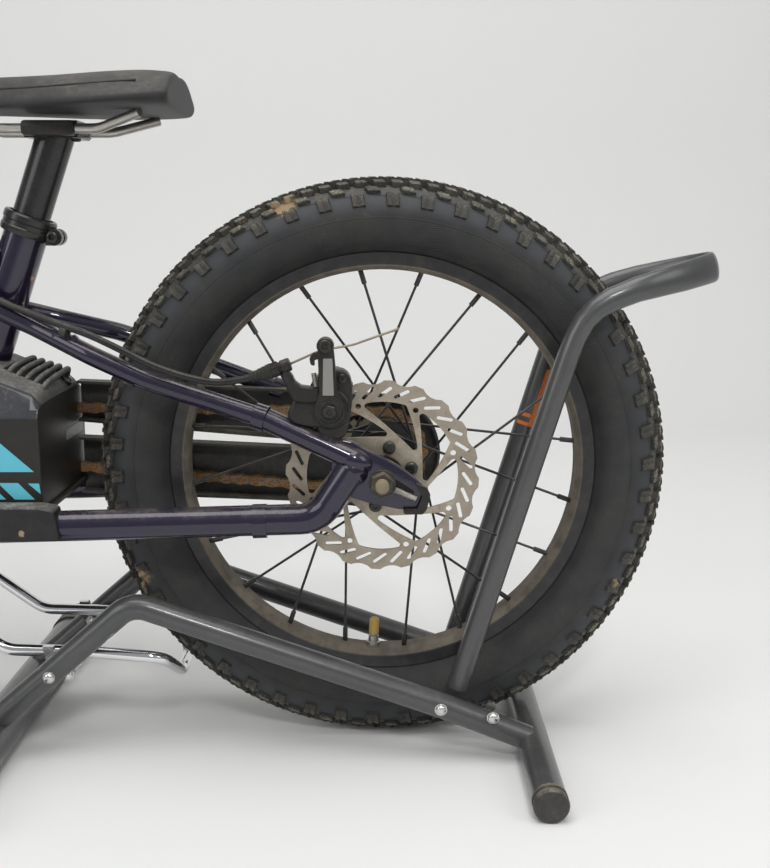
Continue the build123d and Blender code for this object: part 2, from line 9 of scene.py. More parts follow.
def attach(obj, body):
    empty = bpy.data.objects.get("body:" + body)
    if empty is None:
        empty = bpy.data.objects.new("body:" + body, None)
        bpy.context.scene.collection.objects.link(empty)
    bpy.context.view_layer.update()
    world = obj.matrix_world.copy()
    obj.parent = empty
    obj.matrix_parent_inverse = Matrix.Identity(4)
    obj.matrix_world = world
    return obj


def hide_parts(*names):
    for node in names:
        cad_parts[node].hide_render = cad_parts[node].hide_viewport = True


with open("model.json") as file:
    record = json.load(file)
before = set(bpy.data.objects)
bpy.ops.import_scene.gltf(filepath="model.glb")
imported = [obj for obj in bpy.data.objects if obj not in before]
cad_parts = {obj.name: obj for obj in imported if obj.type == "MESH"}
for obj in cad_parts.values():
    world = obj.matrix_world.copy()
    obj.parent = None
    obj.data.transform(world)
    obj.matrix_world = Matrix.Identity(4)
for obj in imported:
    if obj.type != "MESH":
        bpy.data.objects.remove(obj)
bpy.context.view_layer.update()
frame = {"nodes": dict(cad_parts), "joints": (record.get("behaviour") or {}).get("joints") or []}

# Places below are millimetres from the rear axle, as in the part's own source: behind it, to the
# bike's right, and above the axle line. place() turns them into metres in the shared frame.
joints = {joint["name"]: joint for joint in frame["joints"]}
nodes = frame["nodes"]
rearAxle = Vector(joints["rear_wheel_spin"]["pos_m"])
frontAxle = Vector(joints["front_wheel_spin"]["pos_m"])
mm = 0.001
random.seed(16)


def place(x, y, up, origin=rearAxle):
    return origin + Vector((x, y, up)) * mm


# Materials

def makeGroup(name, inputs, outputs):
    # inputs and outputs: (name, socket type, starting value)
    group = bpy.data.node_groups.new(name, "ShaderNodeTree")
    for label, kind, value in inputs:
        socket = group.interface.new_socket(name=label, in_out="INPUT", socket_type=kind)
        if value is not None:
            socket.default_value = value
    for label, kind in outputs:
        group.interface.new_socket(name=label, in_out="OUTPUT", socket_type=kind)
    start = group.nodes.new("NodeGroupInput")
    end = group.nodes.new("NodeGroupOutput")
    return group, start, end


def feed(tree, socket, value):
    # another node's output is linked to the socket, and a number or colour is set on it
    if isinstance(value, bpy.types.NodeSocket):
        tree.links.new(value, socket)
    else:
        socket.default_value = value


def addMath(tree, operation, first, second=None, third=None, clamp=False):
    node = tree.nodes.new("ShaderNodeMath")
    node.operation = operation
    node.use_clamp = clamp
    for socket, value in zip(node.inputs, (first, second, third)):
        if value is not None:
            feed(tree, socket, value)
    return node.outputs[0]


def addMix(tree, amount, first, second):
    node = tree.nodes.new("ShaderNodeMix")
    node.data_type = "RGBA"
    for socket, value in ((node.inputs["Factor"], amount), (node.inputs[6], first), (node.inputs[7], second)):
        feed(tree, socket, value)
    return node.outputs[2]


def addRange(tree, value, low, high, outLow=0.0, outHigh=1.0):
    node = tree.nodes.new("ShaderNodeMapRange")
    node.interpolation_type = "SMOOTHSTEP"
    for label, given in (("Value", value), ("From Min", low), ("From Max", high), ("To Min", outLow),
                         ("To Max", outHigh)):
        feed(tree, node.inputs[label], given)
    return node.outputs[0]


def addNoise(tree, vector, scale, detail=4.0, roughness=0.6):
    node = tree.nodes.new("ShaderNodeTexNoise")
    for label, given in (("Vector", vector), ("Scale", scale), ("Detail", detail), ("Roughness", roughness)):
        feed(tree, node.inputs[label], given)
    return node.outputs[0]


def addGroupNode(tree, group):
    node = tree.nodes.new("ShaderNodeGroup")
    node.node_tree = group
    return node


def makeDustGroup():
    # dry dust that lies on faces turned up and gathers in blotches
    group, start, end = makeGroup(
        "dryDust",
        [("Color", "NodeSocketColor", (0.05, 0.05, 0.05, 1)),
         ("Dust", "NodeSocketColor", (0.36, 0.32, 0.25, 1)), ("On Top", "NodeSocketFloat", 0.5),
         ("Everywhere", "NodeSocketFloat", 0.1), ("Scale", "NodeSocketFloat", 60.0)],
        [("Color", "NodeSocketColor"), ("Mask", "NodeSocketFloat")])
    coords = group.nodes.new("ShaderNodeTexCoord")
    normal = group.nodes.new("ShaderNodeSeparateXYZ")
    group.links.new(coords.outputs["Normal"], normal.inputs[0])
    up = addRange(group, normal.outputs["Z"], 0.25, 1.0)
    coarse = addNoise(group, coords.outputs["Object"], start.outputs["Scale"], 5.0, 0.65)
    fine = addNoise(group, coords.outputs["Object"], addMath(group, "MULTIPLY", start.outputs["Scale"], 9.0),
                    3.0)
    blotch = addRange(group, coarse, 0.35, 0.68)
    speck = addRange(group, fine, 0.42, 0.62, 0.55, 1.0)
    onTop = addMath(group, "MULTIPLY", up, start.outputs["On Top"])
    both = addMath(group, "ADD", onTop, start.outputs["Everywhere"])
    mask = addMath(group, "MULTIPLY", both, addMath(group, "ADD", blotch, 0.45))
    mask = addMath(group, "MULTIPLY", mask, speck, clamp=True)
    mixed = addMix(group, mask, start.outputs["Color"], start.outputs["Dust"])
    group.links.new(mixed, end.inputs["Color"])
    group.links.new(mask, end.inputs["Mask"])
    return group


def makeWheelGroup():
    # distance from a wheel's own axis and the angle round it, from the object's coordinates
    group, start, end = makeGroup(
        "roundTheWheel",
        [("Centre", "NodeSocketVector", (0, 0, 0))],
        [("Radius", "NodeSocketFloat"), ("Angle", "NodeSocketFloat"), ("Side", "NodeSocketFloat"),
         ("Turned", "NodeSocketVector")])
    coords = group.nodes.new("ShaderNodeTexCoord")
    shift = group.nodes.new("ShaderNodeVectorMath")
    shift.operation = "SUBTRACT"
    group.links.new(coords.outputs["Object"], shift.inputs[0])
    group.links.new(start.outputs["Centre"], shift.inputs[1])
    split = group.nodes.new("ShaderNodeSeparateXYZ")
    group.links.new(shift.outputs[0], split.inputs[0])
    across = addMath(group, "MULTIPLY", split.outputs["X"], split.outputs["X"])
    both = addMath(group, "MULTIPLY_ADD", split.outputs["Z"], split.outputs["Z"], across)
    radius = addMath(group, "SQRT", both)
    angle = addMath(group, "ARCTAN2", split.outputs["Z"], split.outputs["X"])
    joined = group.nodes.new("ShaderNodeCombineXYZ")
    group.links.new(radius, joined.inputs[0])
    group.links.new(addMath(group, "MULTIPLY", angle, 0.18), joined.inputs[1])
    group.links.new(split.outputs["Y"], joined.inputs[2])
    group.links.new(radius, end.inputs["Radius"])
    group.links.new(angle, end.inputs["Angle"])
    group.links.new(split.outputs["Y"], end.inputs["Side"])
    group.links.new(joined.outputs[0], end.inputs["Turned"])
    return group


dustGroup = makeDustGroup()
wheelGroup = makeWheelGroup()


def newMaterial(name, color, roughness, metallic=0.0, coat=0.0, coatRoughness=0.1):
    made = bpy.data.materials.new(name)
    made.use_nodes = True
    shader = made.node_tree.nodes["Principled BSDF"]
    for label, value in (("Base Color", (*color, 1)), ("Roughness", roughness), ("Metallic", metallic),
                         ("Coat Weight", coat), ("Coat Roughness", coatRoughness)):
        shader.inputs[label].default_value = value
    return made, made.node_tree, shader


def addDust(tree, shader, color, settings, roughness):
    # settings: dust colour, on top, everywhere, scale; the dusted part is also duller
    dust = addGroupNode(tree, dustGroup)
    feed(tree, dust.inputs["Color"], (*color, 1) if isinstance(color, tuple) else color)
    feed(tree, dust.inputs["Dust"], (*settings["dust"], 1))
    for label, key in (("On Top", "onTop"), ("Everywhere", "everywhere"), ("Scale", "scale")):
        feed(tree, dust.inputs[label], settings[key])
    tree.links.new(dust.outputs["Color"], shader.inputs["Base Color"])
    dull = addRange(tree, dust.outputs["Mask"], 0.0, 0.8, roughness, 0.92)
    tree.links.new(dull, shader.inputs["Roughness"])
    return dust.outputs["Mask"]


def addBump(tree, shader, height, distance):
    bump = tree.nodes.new("ShaderNodeBump")
    bump.inputs["Distance"].default_value = distance
    tree.links.new(height, bump.inputs["Height"])
    tree.links.new(bump.outputs["Normal"], shader.inputs["Normal"])


def objectCoords(tree):
    return tree.nodes.new("ShaderNodeTexCoord").outputs["Object"]


# grain is the grain's size (1/m) and depth its height (m); the last four columns are dust settings
finishColumns = ("color", "roughness", "metallic", "coat", "grain", "depth", "dust", "onTop", "everywhere",
                 "scale")
plainFinishes = {
    "blackPaint": ((0.009, 0.009, 0.010), 0.34, 0.0, 0.4, 900, 0.00004, (0.33, 0.29, 0.22), 0.22, 0.05, 45),
    "castBlack": ((0.009, 0.009, 0.010), 0.36, 0.0, 0.0, 1500, 0.00008, (0.25, 0.21, 0.15), 0.26, 0.06, 60),
    "blackPlastic": ((0.026, 0.026, 0.028), 0.50, 0.0, 0.0, 2600, 0.00006, (0.30, 0.27, 0.20), 0.45, 0.10,
                     30),
    "dustyPlastic": ((0.05, 0.05, 0.049), 0.72, 0.0, 0.0, 2600, 0.00006, (0.37, 0.36, 0.33), 0.72, 0.10, 40),
    "standPaint": ((0.080, 0.081, 0.084), 0.32, 0.45, 0.30, 1400, 0.00008, (0.40, 0.37, 0.32), 0.10, 0.04,
                   25),
    "chromeRod": ((0.78, 0.79, 0.80), 0.10, 1.0, 0.0, 300, 0.00002, (0.35, 0.31, 0.26), 0.12, 0.05, 60),
    "zincSteel": ((0.50, 0.49, 0.46), 0.35, 1.0, 0.0, 1200, 0.00004, (0.30, 0.25, 0.18), 0.25, 0.25, 160),
    "dullSteel": ((0.24, 0.22, 0.19), 0.50, 0.85, 0.0, 1200, 0.00008, (0.34, 0.27, 0.17), 0.30, 0.45, 140),
    "casingRubber": ((0.012, 0.012, 0.013), 0.24, 0.0, 0.0, 700, 0.00004, (0.30, 0.27, 0.21), 0.20, 0.03, 60),
    "gripRubber": ((0.028, 0.028, 0.029), 0.75, 0.0, 0.0, 2000, 0.00008, (0.30, 0.27, 0.22), 0.15, 0.05, 40),
    "saddleCover": ((0.024, 0.024, 0.026), 0.55, 0.0, 0.0, 1600, 0.00014, (0.34, 0.31, 0.25), 0.18, 0.04, 30),
    "greyLabel": ((0.24, 0.24, 0.235), 0.42, 0.3, 0.0, 600, 0.00002, (0.30, 0.27, 0.21), 0.1, 0.25, 160),
    "stripeBlue": ((0.095, 0.48, 0.60), 0.42, 0.0, 0.2, 900, 0.00002, (0.34, 0.30, 0.24), 0.2, 0.06, 60),
    "wireSteel": ((0.26, 0.22, 0.16), 0.35, 0.7, 0.0, 1600, 0.00010, (0.33, 0.28, 0.20), 0.1, 0.15, 200),
    "boltBlack": ((0.035, 0.036, 0.038), 0.28, 0.7, 0.0, 900, 0.00003, (0.30, 0.25, 0.18), 0.20, 0.10, 200),
    "nutSteel": ((0.055, 0.052, 0.046), 0.45, 0.75, 0.0, 1200, 0.00008, (0.34, 0.29, 0.20), 0.35, 0.18, 170),
    "axleTan": ((0.20, 0.165, 0.11), 0.60, 0.5, 0.0, 1500, 0.00008, (0.42, 0.35, 0.24), 0.20, 0.40, 220),
    "oliveRubber": ((0.013, 0.014, 0.012), 0.62, 0.0, 0.0, 1400, 0.00006, (0.15, 0.14, 0.10), 0.32, 0.10,
                    140),
    "paleStrand": ((0.38, 0.33, 0.24), 0.45, 0.5, 0.0, 1600, 0.00004, (0.55, 0.50, 0.38), 0.1, 0.3, 300),
    "glossBlack": ((0.009, 0.009, 0.010), 0.26, 0.0, 0.3, 500, 0.00002, (0.20, 0.18, 0.14), 0.25, 0.04, 70),
    # painted shade: a near-black matte finish for the dropouts' axle slots and the gaps between the lid's
    # arches, where there is only shade
    "shadeBlack": ((0.008, 0.008, 0.008), 0.8, 0.0, 0.0, 900, 0.00002, (0.10, 0.09, 0.07), 0.1, 0.05, 80),
    "housingPlastic": ((0.016, 0.0155, 0.015), 0.42, 0.0, 0.0, 2600, 0.00005, (0.10, 0.085, 0.062), 0.35,
                       0.10, 26),
    # painted sheen: a lighter, bluish copy of the housing plastic for its shoulder, where the top facet
    # catches light; its lower roughness and coat are the plastic's real gloss
    "housingPaintedSheen": ((0.036, 0.038, 0.046), 0.20, 0.1, 0.5, 900, 0.00003, (0.20, 0.19, 0.17), 0.20, 0.10, 40),
    "restPlastic": ((0.011, 0.011, 0.012), 0.50, 0.0, 0.0, 2400, 0.00007, (0.30, 0.29, 0.26), 0.70, 0.03, 50),
    "brightZinc": ((0.70, 0.70, 0.68), 0.25, 1.0, 0.0, 900, 0.00003, (0.40, 0.37, 0.30), 0.1, 0.1, 140),
    "stickerOrange": ((0.66, 0.16, 0.02), 0.45, 0.0, 0.0, 700, 0.00002, (0.40, 0.30, 0.20), 0.1, 0.15, 120),
    "capYellow": ((0.46, 0.31, 0.07), 0.50, 0.2, 0.0, 900, 0.00004, (0.30, 0.25, 0.18), 0.2, 0.25, 200),
}


plainSpecular = 0.35


def makePlain(name, given):
    made, tree, shader = newMaterial(name, given["color"], given["roughness"], given["metallic"],
                                     given["coat"])
    shader.inputs["Specular IOR Level"].default_value = plainSpecular
    addDust(tree, shader, given["color"], given, given["roughness"])
    grain = addNoise(tree, objectCoords(tree), given["grain"], 3.0, 0.5)
    addBump(tree, shader, grain, given["depth"])
    return made


finish = {name: makePlain(name, dict(zip(finishColumns, row))) for name, row in plainFinishes.items()}


def makeFramePaint():
    made, tree, shader = newMaterial("framePaint", (0.012, 0.008, 0.024), 0.24, 0.25, 0.9, 0.02)
    shader.inputs["Specular IOR Level"].default_value = 0.25
    coords = objectCoords(tree)
    flakes = addNoise(tree, coords, 4200.0, 1.0, 0.4)
    facing = tree.nodes.new("ShaderNodeLayerWeight")
    facing.inputs["Blend"].default_value = 0.35
    tint = addMix(tree, facing.outputs["Facing"], (0.010, 0.0065, 0.024, 1), (0.014, 0.009, 0.022, 1))
    sparkle = addMix(tree, addRange(tree, flakes, 0.52, 0.74, 0.0, 0.40), tint, (0.050, 0.034, 0.110, 1))
    settings = dict(dust=(0.27, 0.24, 0.20), onTop=0.28, everywhere=0.015, scale=35)
    addDust(tree, shader, sparkle, settings, 0.24)
    ripple = addNoise(tree, coords, 90.0, 2.0, 0.5)
    addBump(tree, shader, ripple, 0.0002)
    return made


finish["framePaint"] = makeFramePaint()
print("materials made")


# Stage, camera and light

stageSettings = dict(color=(0.79, 0.785, 0.77), roughness=0.85, near=-4.0, wallBehind=1.9, width=9.0,
                     height=4.0, bend=0.6, bendSteps=8)
cameraSettings = dict(x=1.9, y=-824.0, up=177.4, down=10.65, focalPixels=1100.0, widthPixels=770.0,
                      sensor=36.0, clipFrom=0.02)
roomSettings = dict(color=(0.90, 0.92, 0.95, 1), strength=0.37)
lightSettings = [
    # name, place in metres, aim in metres, size, power
    ("topLight", (0.1, -0.35, 2.7), (0.2, 0.0, 0.3), 2.2, 43.0),
    ("leftLight", (-2.0, -1.8, 1.6), (0.1, 0.0, 0.3), 1.6, 19.0),
    ("rightLight", (2.4, -1.2, 1.8), (0.3, 0.0, 0.3), 1.4, 12.0),
    ("windowLight", (0.6, -1.6, 1.5), (0.2, 0.0, 0.2), 0.28, 10.0),
]


def linkObject(name, data):
    made = bpy.data.objects.new(name, data)
    bpy.context.scene.collection.objects.link(made)
    return made


def meshFrom(name, bm):
    mesh = bpy.data.meshes.new(name)
    bm.to_mesh(mesh)
    bm.free()
    return mesh


def vertsOf(result):
    return [item for item in result["geom"] if isinstance(item, bmesh.types.BMVert)]


def makePaper():
    # the sweep's back lets a camera behind it look through, so the views from there show the bike
    paper, tree, shader = newMaterial("palePaper", stageSettings["color"], stageSettings["roughness"])
    side = tree.nodes.new("ShaderNodeNewGeometry")
    ray = tree.nodes.new("ShaderNodeLightPath")
    clear = tree.nodes.new("ShaderNodeBsdfTransparent")
    either = tree.nodes.new("ShaderNodeMixShader")
    fromBehind = addMath(tree, "MULTIPLY", side.outputs["Backfacing"], ray.outputs["Is Camera Ray"])
    for socket, output in zip(either.inputs, (fromBehind, shader.outputs[0], clear.outputs[0])):
        tree.links.new(output, socket)
    tree.links.new(either.outputs[0], tree.nodes["Material Output"].inputs["Surface"])
    return paper


def makeStage():
    given = stageSettings
    wall, bend, bendSteps = given["wallBehind"], given["bend"], given["bendSteps"]
    turns = [math.pi / 2 * step / bendSteps for step in range(bendSteps + 1)]
    outline = [(given["near"], 0.0)]
    outline += [(wall - bend + bend * math.sin(turn), bend - bend * math.cos(turn)) for turn in turns]
    outline.append((wall, given["height"]))
    bm = bmesh.new()
    chain = [bm.verts.new((-given["width"] / 2, y, z)) for y, z in outline]
    edges = [bm.edges.new(pair) for pair in zip(chain, chain[1:])]
    swept = bmesh.ops.extrude_edge_only(bm, edges=edges)
    bmesh.ops.translate(bm, verts=vertsOf(swept), vec=(given["width"], 0, 0))
    bm.normal_update()
    floorFace = min(bm.faces, key=lambda face: face.calc_center_median().z)
    if floorFace.normal.z < 0:
        bmesh.ops.reverse_faces(bm, faces=bm.faces)
    mesh = meshFrom("paleSweep", bm)
    mesh.shade_smooth()
    mesh.materials.append(makePaper())
    linkObject("paleSweep", mesh)


def makeCamera():
    given = cameraSettings
    camera = linkObject("camera", bpy.data.cameras.new("camera"))
    camera.location = place(given["x"], given["y"], given["up"])
    camera.rotation_euler = (math.radians(90 - given["down"]), 0, 0)
    camera.data.sensor_fit = "HORIZONTAL"
    camera.data.sensor_width = given["sensor"]
    camera.data.lens = given["sensor"] * given["focalPixels"] / given["widthPixels"]
    camera.data.clip_start = given["clipFrom"]
    bpy.context.scene.camera = camera


def makeLights():
    for name, spot, aim, size, power in lightSettings:
        lamp = bpy.data.lights.new(name, "AREA")
        lamp.shape = "SQUARE"
        lamp.size = size
        lamp.energy = power
        holder = linkObject(name, lamp)
        holder.location = spot
        holder.rotation_euler = (Vector(aim) - Vector(spot)).to_track_quat("-Z", "Y").to_euler()
    world = bpy.data.worlds.new("paleRoom")
    bpy.context.scene.world = world
    world.use_nodes = True
    background = world.node_tree.nodes["Background"]
    background.inputs["Color"].default_value = roomSettings["color"]
    background.inputs["Strength"].default_value = roomSettings["strength"]


makeStage()
makeCamera()
makeLights()
bpy.context.scene.view_settings.view_transform = "Standard"
print("stage, camera and light set")


# Finishes of the CAD nodes

nodeFinishes = {
    "framePaint": ["head_tube", "top_tube", "down_tube", "seat_tube", "seat_stay_left", "seat_stay_right",
                   "lower_tube_left", "lower_tube_right", "dropout_left", "dropout_right", "cross_member",
                   "fork"],
    "blackPaint": ["rear_rim", "front_rim", "rear_spokes", "front_spokes", "rear_hub", "front_hub",
                   "handlebar", "stem", "seat_clamp", "brake_lever"],
    "glossBlack": ["seat_post"],
    "castBlack": ["caliper_arm", "caliper_body", "cable_barrel", "axle_tensioners"],
    "blackPlastic": ["motor_housing", "footrest_left", "footrest_right", "chain_guard", "stand_caps",
                     "rear_tyre", "front_tyre"],
    "dustyPlastic": ["housing_cover"],
    "dullSteel": ["rear_axle", "front_axle", "chain", "rear_sprocket"],
    "zincSteel": ["saddle_rails", "brake_rotor"],
    "gripRubber": ["grip_left", "grip_right"],
    "saddleCover": ["saddle"],
    "casingRubber": ["brake_casing", "front_casing", "cable_clip"],
    "wireSteel": ["brake_wire"],
    "standPaint": ["stand_base_left", "stand_base_right", "stand_feet", "stand_hoop"],
    "chromeRod": ["stand_bail"],
}
for finishName, names in nodeFinishes.items():
    for name in names:
        mesh = nodes[name].data
        mesh.materials.clear()
        mesh.materials.append(finish[finishName])
print("CAD nodes finished")


# Helpers for new pieces; they work in millimetres from an axle, and finishPiece() makes metres of them

def finishPiece(name, bm, looks, body, origin=rearAxle, replaced=(), sharp=35):
    bmesh.ops.remove_doubles(bm, verts=bm.verts, dist=0.004)
    bmesh.ops.recalc_face_normals(bm, faces=bm.faces)
    bmesh.ops.scale(bm, vec=(mm, mm, mm), verts=bm.verts)
    bmesh.ops.translate(bm, vec=origin, verts=bm.verts)
    mesh = meshFrom(name, bm)
    mesh.shade_smooth()
    mesh.set_sharp_from_angle(angle=math.radians(sharp))
    for look in looks:
        mesh.materials.append(finish[look] if isinstance(look, str) else look)
    piece = linkObject(name, mesh)
    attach(piece, body)
    if replaced:
        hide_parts(*replaced)
    return piece


def roundEdges(bm, edges, offset, segments=2):
    bmesh.ops.bevel(bm, geom=list(edges), offset=offset, offset_type="OFFSET", segments=segments, profile=0.5,
                    affect="EDGES", clamp_overlap=True, material=-1)


def slab(bm, outline, yFrom, yTo, corner=0.0, edge=0.0, cornerSegments=4, edgeSegments=2):
    # a flat side outline of (x, up) given its thickness across the bike
    corners = [bm.verts.new((x, yFrom, up)) for x, up in outline]
    face = bm.faces.new(corners)
    grown = bmesh.ops.extrude_face_region(bm, geom=[face])
    far = vertsOf(grown)
    bmesh.ops.translate(bm, verts=far, vec=(0, yTo - yFrom, 0))
    made = set(corners) | set(far)
    if corner:
        across = {e for v in made for e in v.link_edges
                  if abs(e.verts[0].co.x - e.verts[1].co.x) + abs(e.verts[0].co.z - e.verts[1].co.z) < 1e-6}
        before = set(bm.verts) - made
        roundEdges(bm, across, corner, cornerSegments)
        made = set(bm.verts) - before
    if edge:
        bm.normal_update()
        rims = {e for v in made for e in v.link_edges
                if abs(e.verts[0].co.y - e.verts[1].co.y) < 1e-6 and len(e.link_faces) == 2
                and abs(e.link_faces[0].normal.dot(e.link_faces[1].normal)) < 0.6}
        before = set(bm.verts) - made
        roundEdges(bm, rims, edge, edgeSegments)
        made = set(bm.verts) - before
    return made


def addSlab(bm, row):
    outline, near, far, corner, edge, edgeSegments = row
    slab(bm, outline, near, far, corner=corner, edge=edge, edgeSegments=edgeSegments)


def loft(bm, sections):
    # a skin over closed sections that all have as many points, with a face at each end
    rings = []
    for section in sections:
        verts = [bm.verts.new(spot) for spot in section]
        rings.append([bm.edges.new(pair) for pair in zip(verts, verts[1:] + verts[:1])])
    for first, second in zip(rings, rings[1:]):
        bmesh.ops.bridge_loops(bm, edges=first + second)
    return [bmesh.ops.contextual_create(bm, geom=edges)["faces"] for edges in (rings[0], rings[-1])]


def turned(bm, profile, start, direction, steps=32, closed=False):
    # profile: (along, radius), turned about a line from start
    along = Vector(direction).normalized()
    out = along.orthogonal().normalized()
    start = Vector(start)
    ring = [bm.verts.new(start + along * step + out * radius) for step, radius in profile]
    pairs = list(zip(ring, ring[1:])) + ([(ring[-1], ring[0])] if closed else [])
    edges = [bm.edges.new(pair) for pair in pairs]
    before = set(bm.verts) - set(ring)
    bmesh.ops.spin(bm, geom=ring + edges, cent=start, axis=along, angle=math.tau, steps=steps, use_merge=True)
    return set(bm.verts) - before


def rodBetween(bm, start, end, radius, steps=12):
    start, end = Vector(start), Vector(end)
    length = (end - start).length
    return turned(bm, [(0, 0), (0, radius), (length, radius), (length, 0)], start, end - start, steps)


def boltHead(bm, centre, direction, radius, height, recess, dome=0.25, steps=20):
    profile = [(-0.6, 0), (-0.6, radius), (height * (1 - dome), radius), (height, radius * 0.80)]
    if recess:
        profile += [(height, recess), (height * 0.35, recess * 0.92), (height * 0.35, 0)]
    else:
        profile += [(height * 1.12, radius * 0.45), (height * 1.16, 0)]
    return turned(bm, profile, centre, direction, steps)


def hexNut(bm, centre, direction, radius, height, bore):
    profile = [(0, bore), (0, radius), (height * 0.85, radius), (height, radius * 0.88), (height, bore)]
    return turned(bm, profile, centre, direction, 6, closed=True)


def polar(radius, degrees):
    return (radius * math.cos(math.radians(degrees)), radius * math.sin(math.radians(degrees)))


def allOf(bm):
    return bm.verts[:] + bm.edges[:] + bm.faces[:]


def copyRound(bm, centre, axis, count):
    # turns everything in bm round the axis, count times in all
    bmesh.ops.spin(bm, geom=allOf(bm), cent=centre, axis=axis, angle=math.tau * (count - 1) / count,
                   steps=count - 1, use_duplicate=True)


def turnAboutY(bm, verts, degrees):
    bmesh.ops.rotate(bm, verts=verts, cent=(0, 0, 0), matrix=Matrix.Rotation(math.radians(degrees), 3, "Y"))


def pipe(bm, points, radius, sides=8, slotIndex=0):
    # a round tube along a smooth curve by a few points, with its ends closed
    curve = bpy.data.curves.new("route", "CURVE")
    curve.dimensions = "3D"
    curve.bevel_depth = radius
    curve.bevel_resolution = max(0, sides // 2 - 2)
    curve.use_fill_caps = True
    curve.resolution_u = 6
    spline = curve.splines.new("NURBS")
    spline.points.add(len(points) - 1)
    for point, spot in zip(spline.points, points):
        point.co = (*spot, 1)
    spline.order_u = 3
    spline.use_endpoint_u = True
    holder = bpy.data.objects.new("route", curve)
    mesh = bpy.data.meshes.new_from_object(holder)
    first = len(bm.faces)
    bm.from_mesh(mesh)
    bm.faces.ensure_lookup_table()
    for face in bm.faces[first:]:
        face.material_index = slotIndex
    bpy.data.objects.remove(holder)
    bpy.data.curves.remove(curve)
    bpy.data.meshes.remove(mesh)


def joinPart(bm, part, slotIndex=0):
    # adds a shape that was made apart, all of it in one of the piece's materials
    for face in part.faces:
        face.material_index = slotIndex
    mesh = meshFrom("part", part)
    bm.from_mesh(mesh)
    bpy.data.meshes.remove(mesh)


def mirrorAcross(bm):
    # adds the same shapes on the bike's right side
    copied = bmesh.ops.duplicate(bm, geom=allOf(bm))
    bmesh.ops.scale(bm, vec=(1, -1, 1), verts=vertsOf(copied))
    faces = [item for item in copied["geom"] if isinstance(item, bmesh.types.BMFace)]
    bmesh.ops.reverse_faces(bm, faces=faces)


# Tyres

tyreShape = dict(
    # half of the carcass as (radius, side), from the bead out to the crown, then its inside
    outside=[(152.9, 12.1), (159.6, 12.3), (162.0, 14.6), (166.0, 19.0), (171.0, 22.8), (178.0, 26.0),
             (185.0, 27.6), (191.0, 27.2), (197.0, 24.6), (202.0, 20.0), (205.5, 14.0), (207.6, 7.0)],
    crown=208.3,
    inside=[(204.5, 0.0), (200.0, 13.0), (185.0, 22.0), (164.0, 9.2), (153.0, 8.2)],
    steps=200, sharp=38,
)
lugEdge, notchCuts, closeBy = 0.45, 3, 0.1
lugRows = {
    # one side's rows: count round the wheel, first angle, outer face at (radius, side), its lean from
    # straight out, size along and across, depth, share left at the top, notch depth, shear
    "shoulder": dict(count=50, first=87.8, radius=197.4, side=27.2, lean=66, along=10.5, across=12.0,
                     depth=6.5, top=0.80, notch=1.3, shear=0.10),
    "middle": dict(count=50, first=92.0, radius=205.0, side=21.0, lean=44, along=10.5, across=5.5,
                   depth=5.5, top=0.84, notch=0.0, shear=0.55),
    "near": dict(count=100, first=87.1, radius=210.6, side=12.6, lean=21, along=9.5, across=6.2,
                 depth=6.0, top=0.82, notch=0.0, shear=0.35),
    "centre": dict(count=100, first=85.8, radius=213.6, side=4.9, lean=7, along=9.5, across=7.4,
                   depth=6.8, top=0.85, notch=0.7, shear=0.30),
}


def addLugRow(whole, given, side):
    # the first lug is shaped flat, stood on the tyre and then copied round it
    bm = bmesh.new()
    lug = bmesh.ops.create_cube(bm, size=1)["verts"]
    bmesh.ops.scale(bm, vec=(given["along"], given["across"], given["depth"]), verts=lug)
    bmesh.ops.translate(bm, vec=(0, 0, -given["depth"] / 2), verts=lug)
    for vert in lug:
        if vert.co.z > -closeBy:
            vert.co.x *= given["top"]
            vert.co.y *= given["top"]
    edges = {edge for vert in lug for edge in vert.link_edges}
    if given["notch"]:
        lengthwise = [edge for edge in edges if abs(edge.verts[0].co.y - edge.verts[1].co.y) < 0.01
                      and abs(edge.verts[0].co.z - edge.verts[1].co.z) < 0.01]
        bmesh.ops.subdivide_edges(bm, edges=lengthwise, cuts=notchCuts, use_grid_fill=True)
        for vert in bm.verts:
            if abs(vert.co.x) < closeBy and vert.co.z > -closeBy:
                vert.co.z -= given["notch"]
    else:
        roundEdges(bm, [edge for edge in edges if max(v.co.z for v in edge.verts) > -closeBy], lugEdge, 1)
    for vert in bm.verts:
        vert.co.x += vert.co.y * given["shear"] * side
    bm.normal_update()
    for face in bm.faces:
        face.material_index = 2 if face.normal.z > 0.5 else 1
    stagger = 0 if side < 0 else 180 / given["count"]
    turn = math.radians(given["first"] + stagger)
    lean = math.radians(given["lean"])
    radial = Vector((math.cos(turn), 0, math.sin(turn)))
    tangent = Vector((-math.sin(turn), 0, math.cos(turn)))
    sideways = Vector((0, side, 0))
    outward = radial * math.cos(lean) + sideways * math.sin(lean)
    across = sideways * math.cos(lean) - radial * math.sin(lean)
    stand = Matrix((tangent, across, outward)).transposed().to_4x4()
    stand.translation = radial * given["radius"] + sideways * given["side"]
    bmesh.ops.transform(bm, matrix=stand, verts=bm.verts)
    copyRound(bm, (0, 0, 0), (0, 1, 0), given["count"])
    row = meshFrom("lugRow", bm)
    whole.from_mesh(row)
    bpy.data.meshes.remove(row)


def makeTyre(name, body, origin, looks, cadNode):
    given = tyreShape
    bm = bmesh.new()
    half = given["outside"]
    section = ([(radius, -side) for radius, side in half] + [(given["crown"], 0.0)]
               + [(radius, side) for radius, side in reversed(half)]
               + [(radius, side) for radius, side in reversed(given["inside"])]
               + [(radius, -side) for radius, side in given["inside"][1:]])
    ring = [bm.verts.new((radius, side, 0)) for radius, side in section]
    edges = [bm.edges.new(pair) for pair in zip(ring, ring[1:] + ring[:1])]
    bmesh.ops.spin(bm, geom=ring + edges, cent=(0, 0, 0), axis=(0, 1, 0), angle=math.tau,
                   steps=given["steps"], use_merge=True)
    for side in (-1, 1):
        for row in lugRows.values():
            addLugRow(bm, row, side)
    return finishPiece(name, bm, looks, body, origin, [cadNode], given["sharp"])


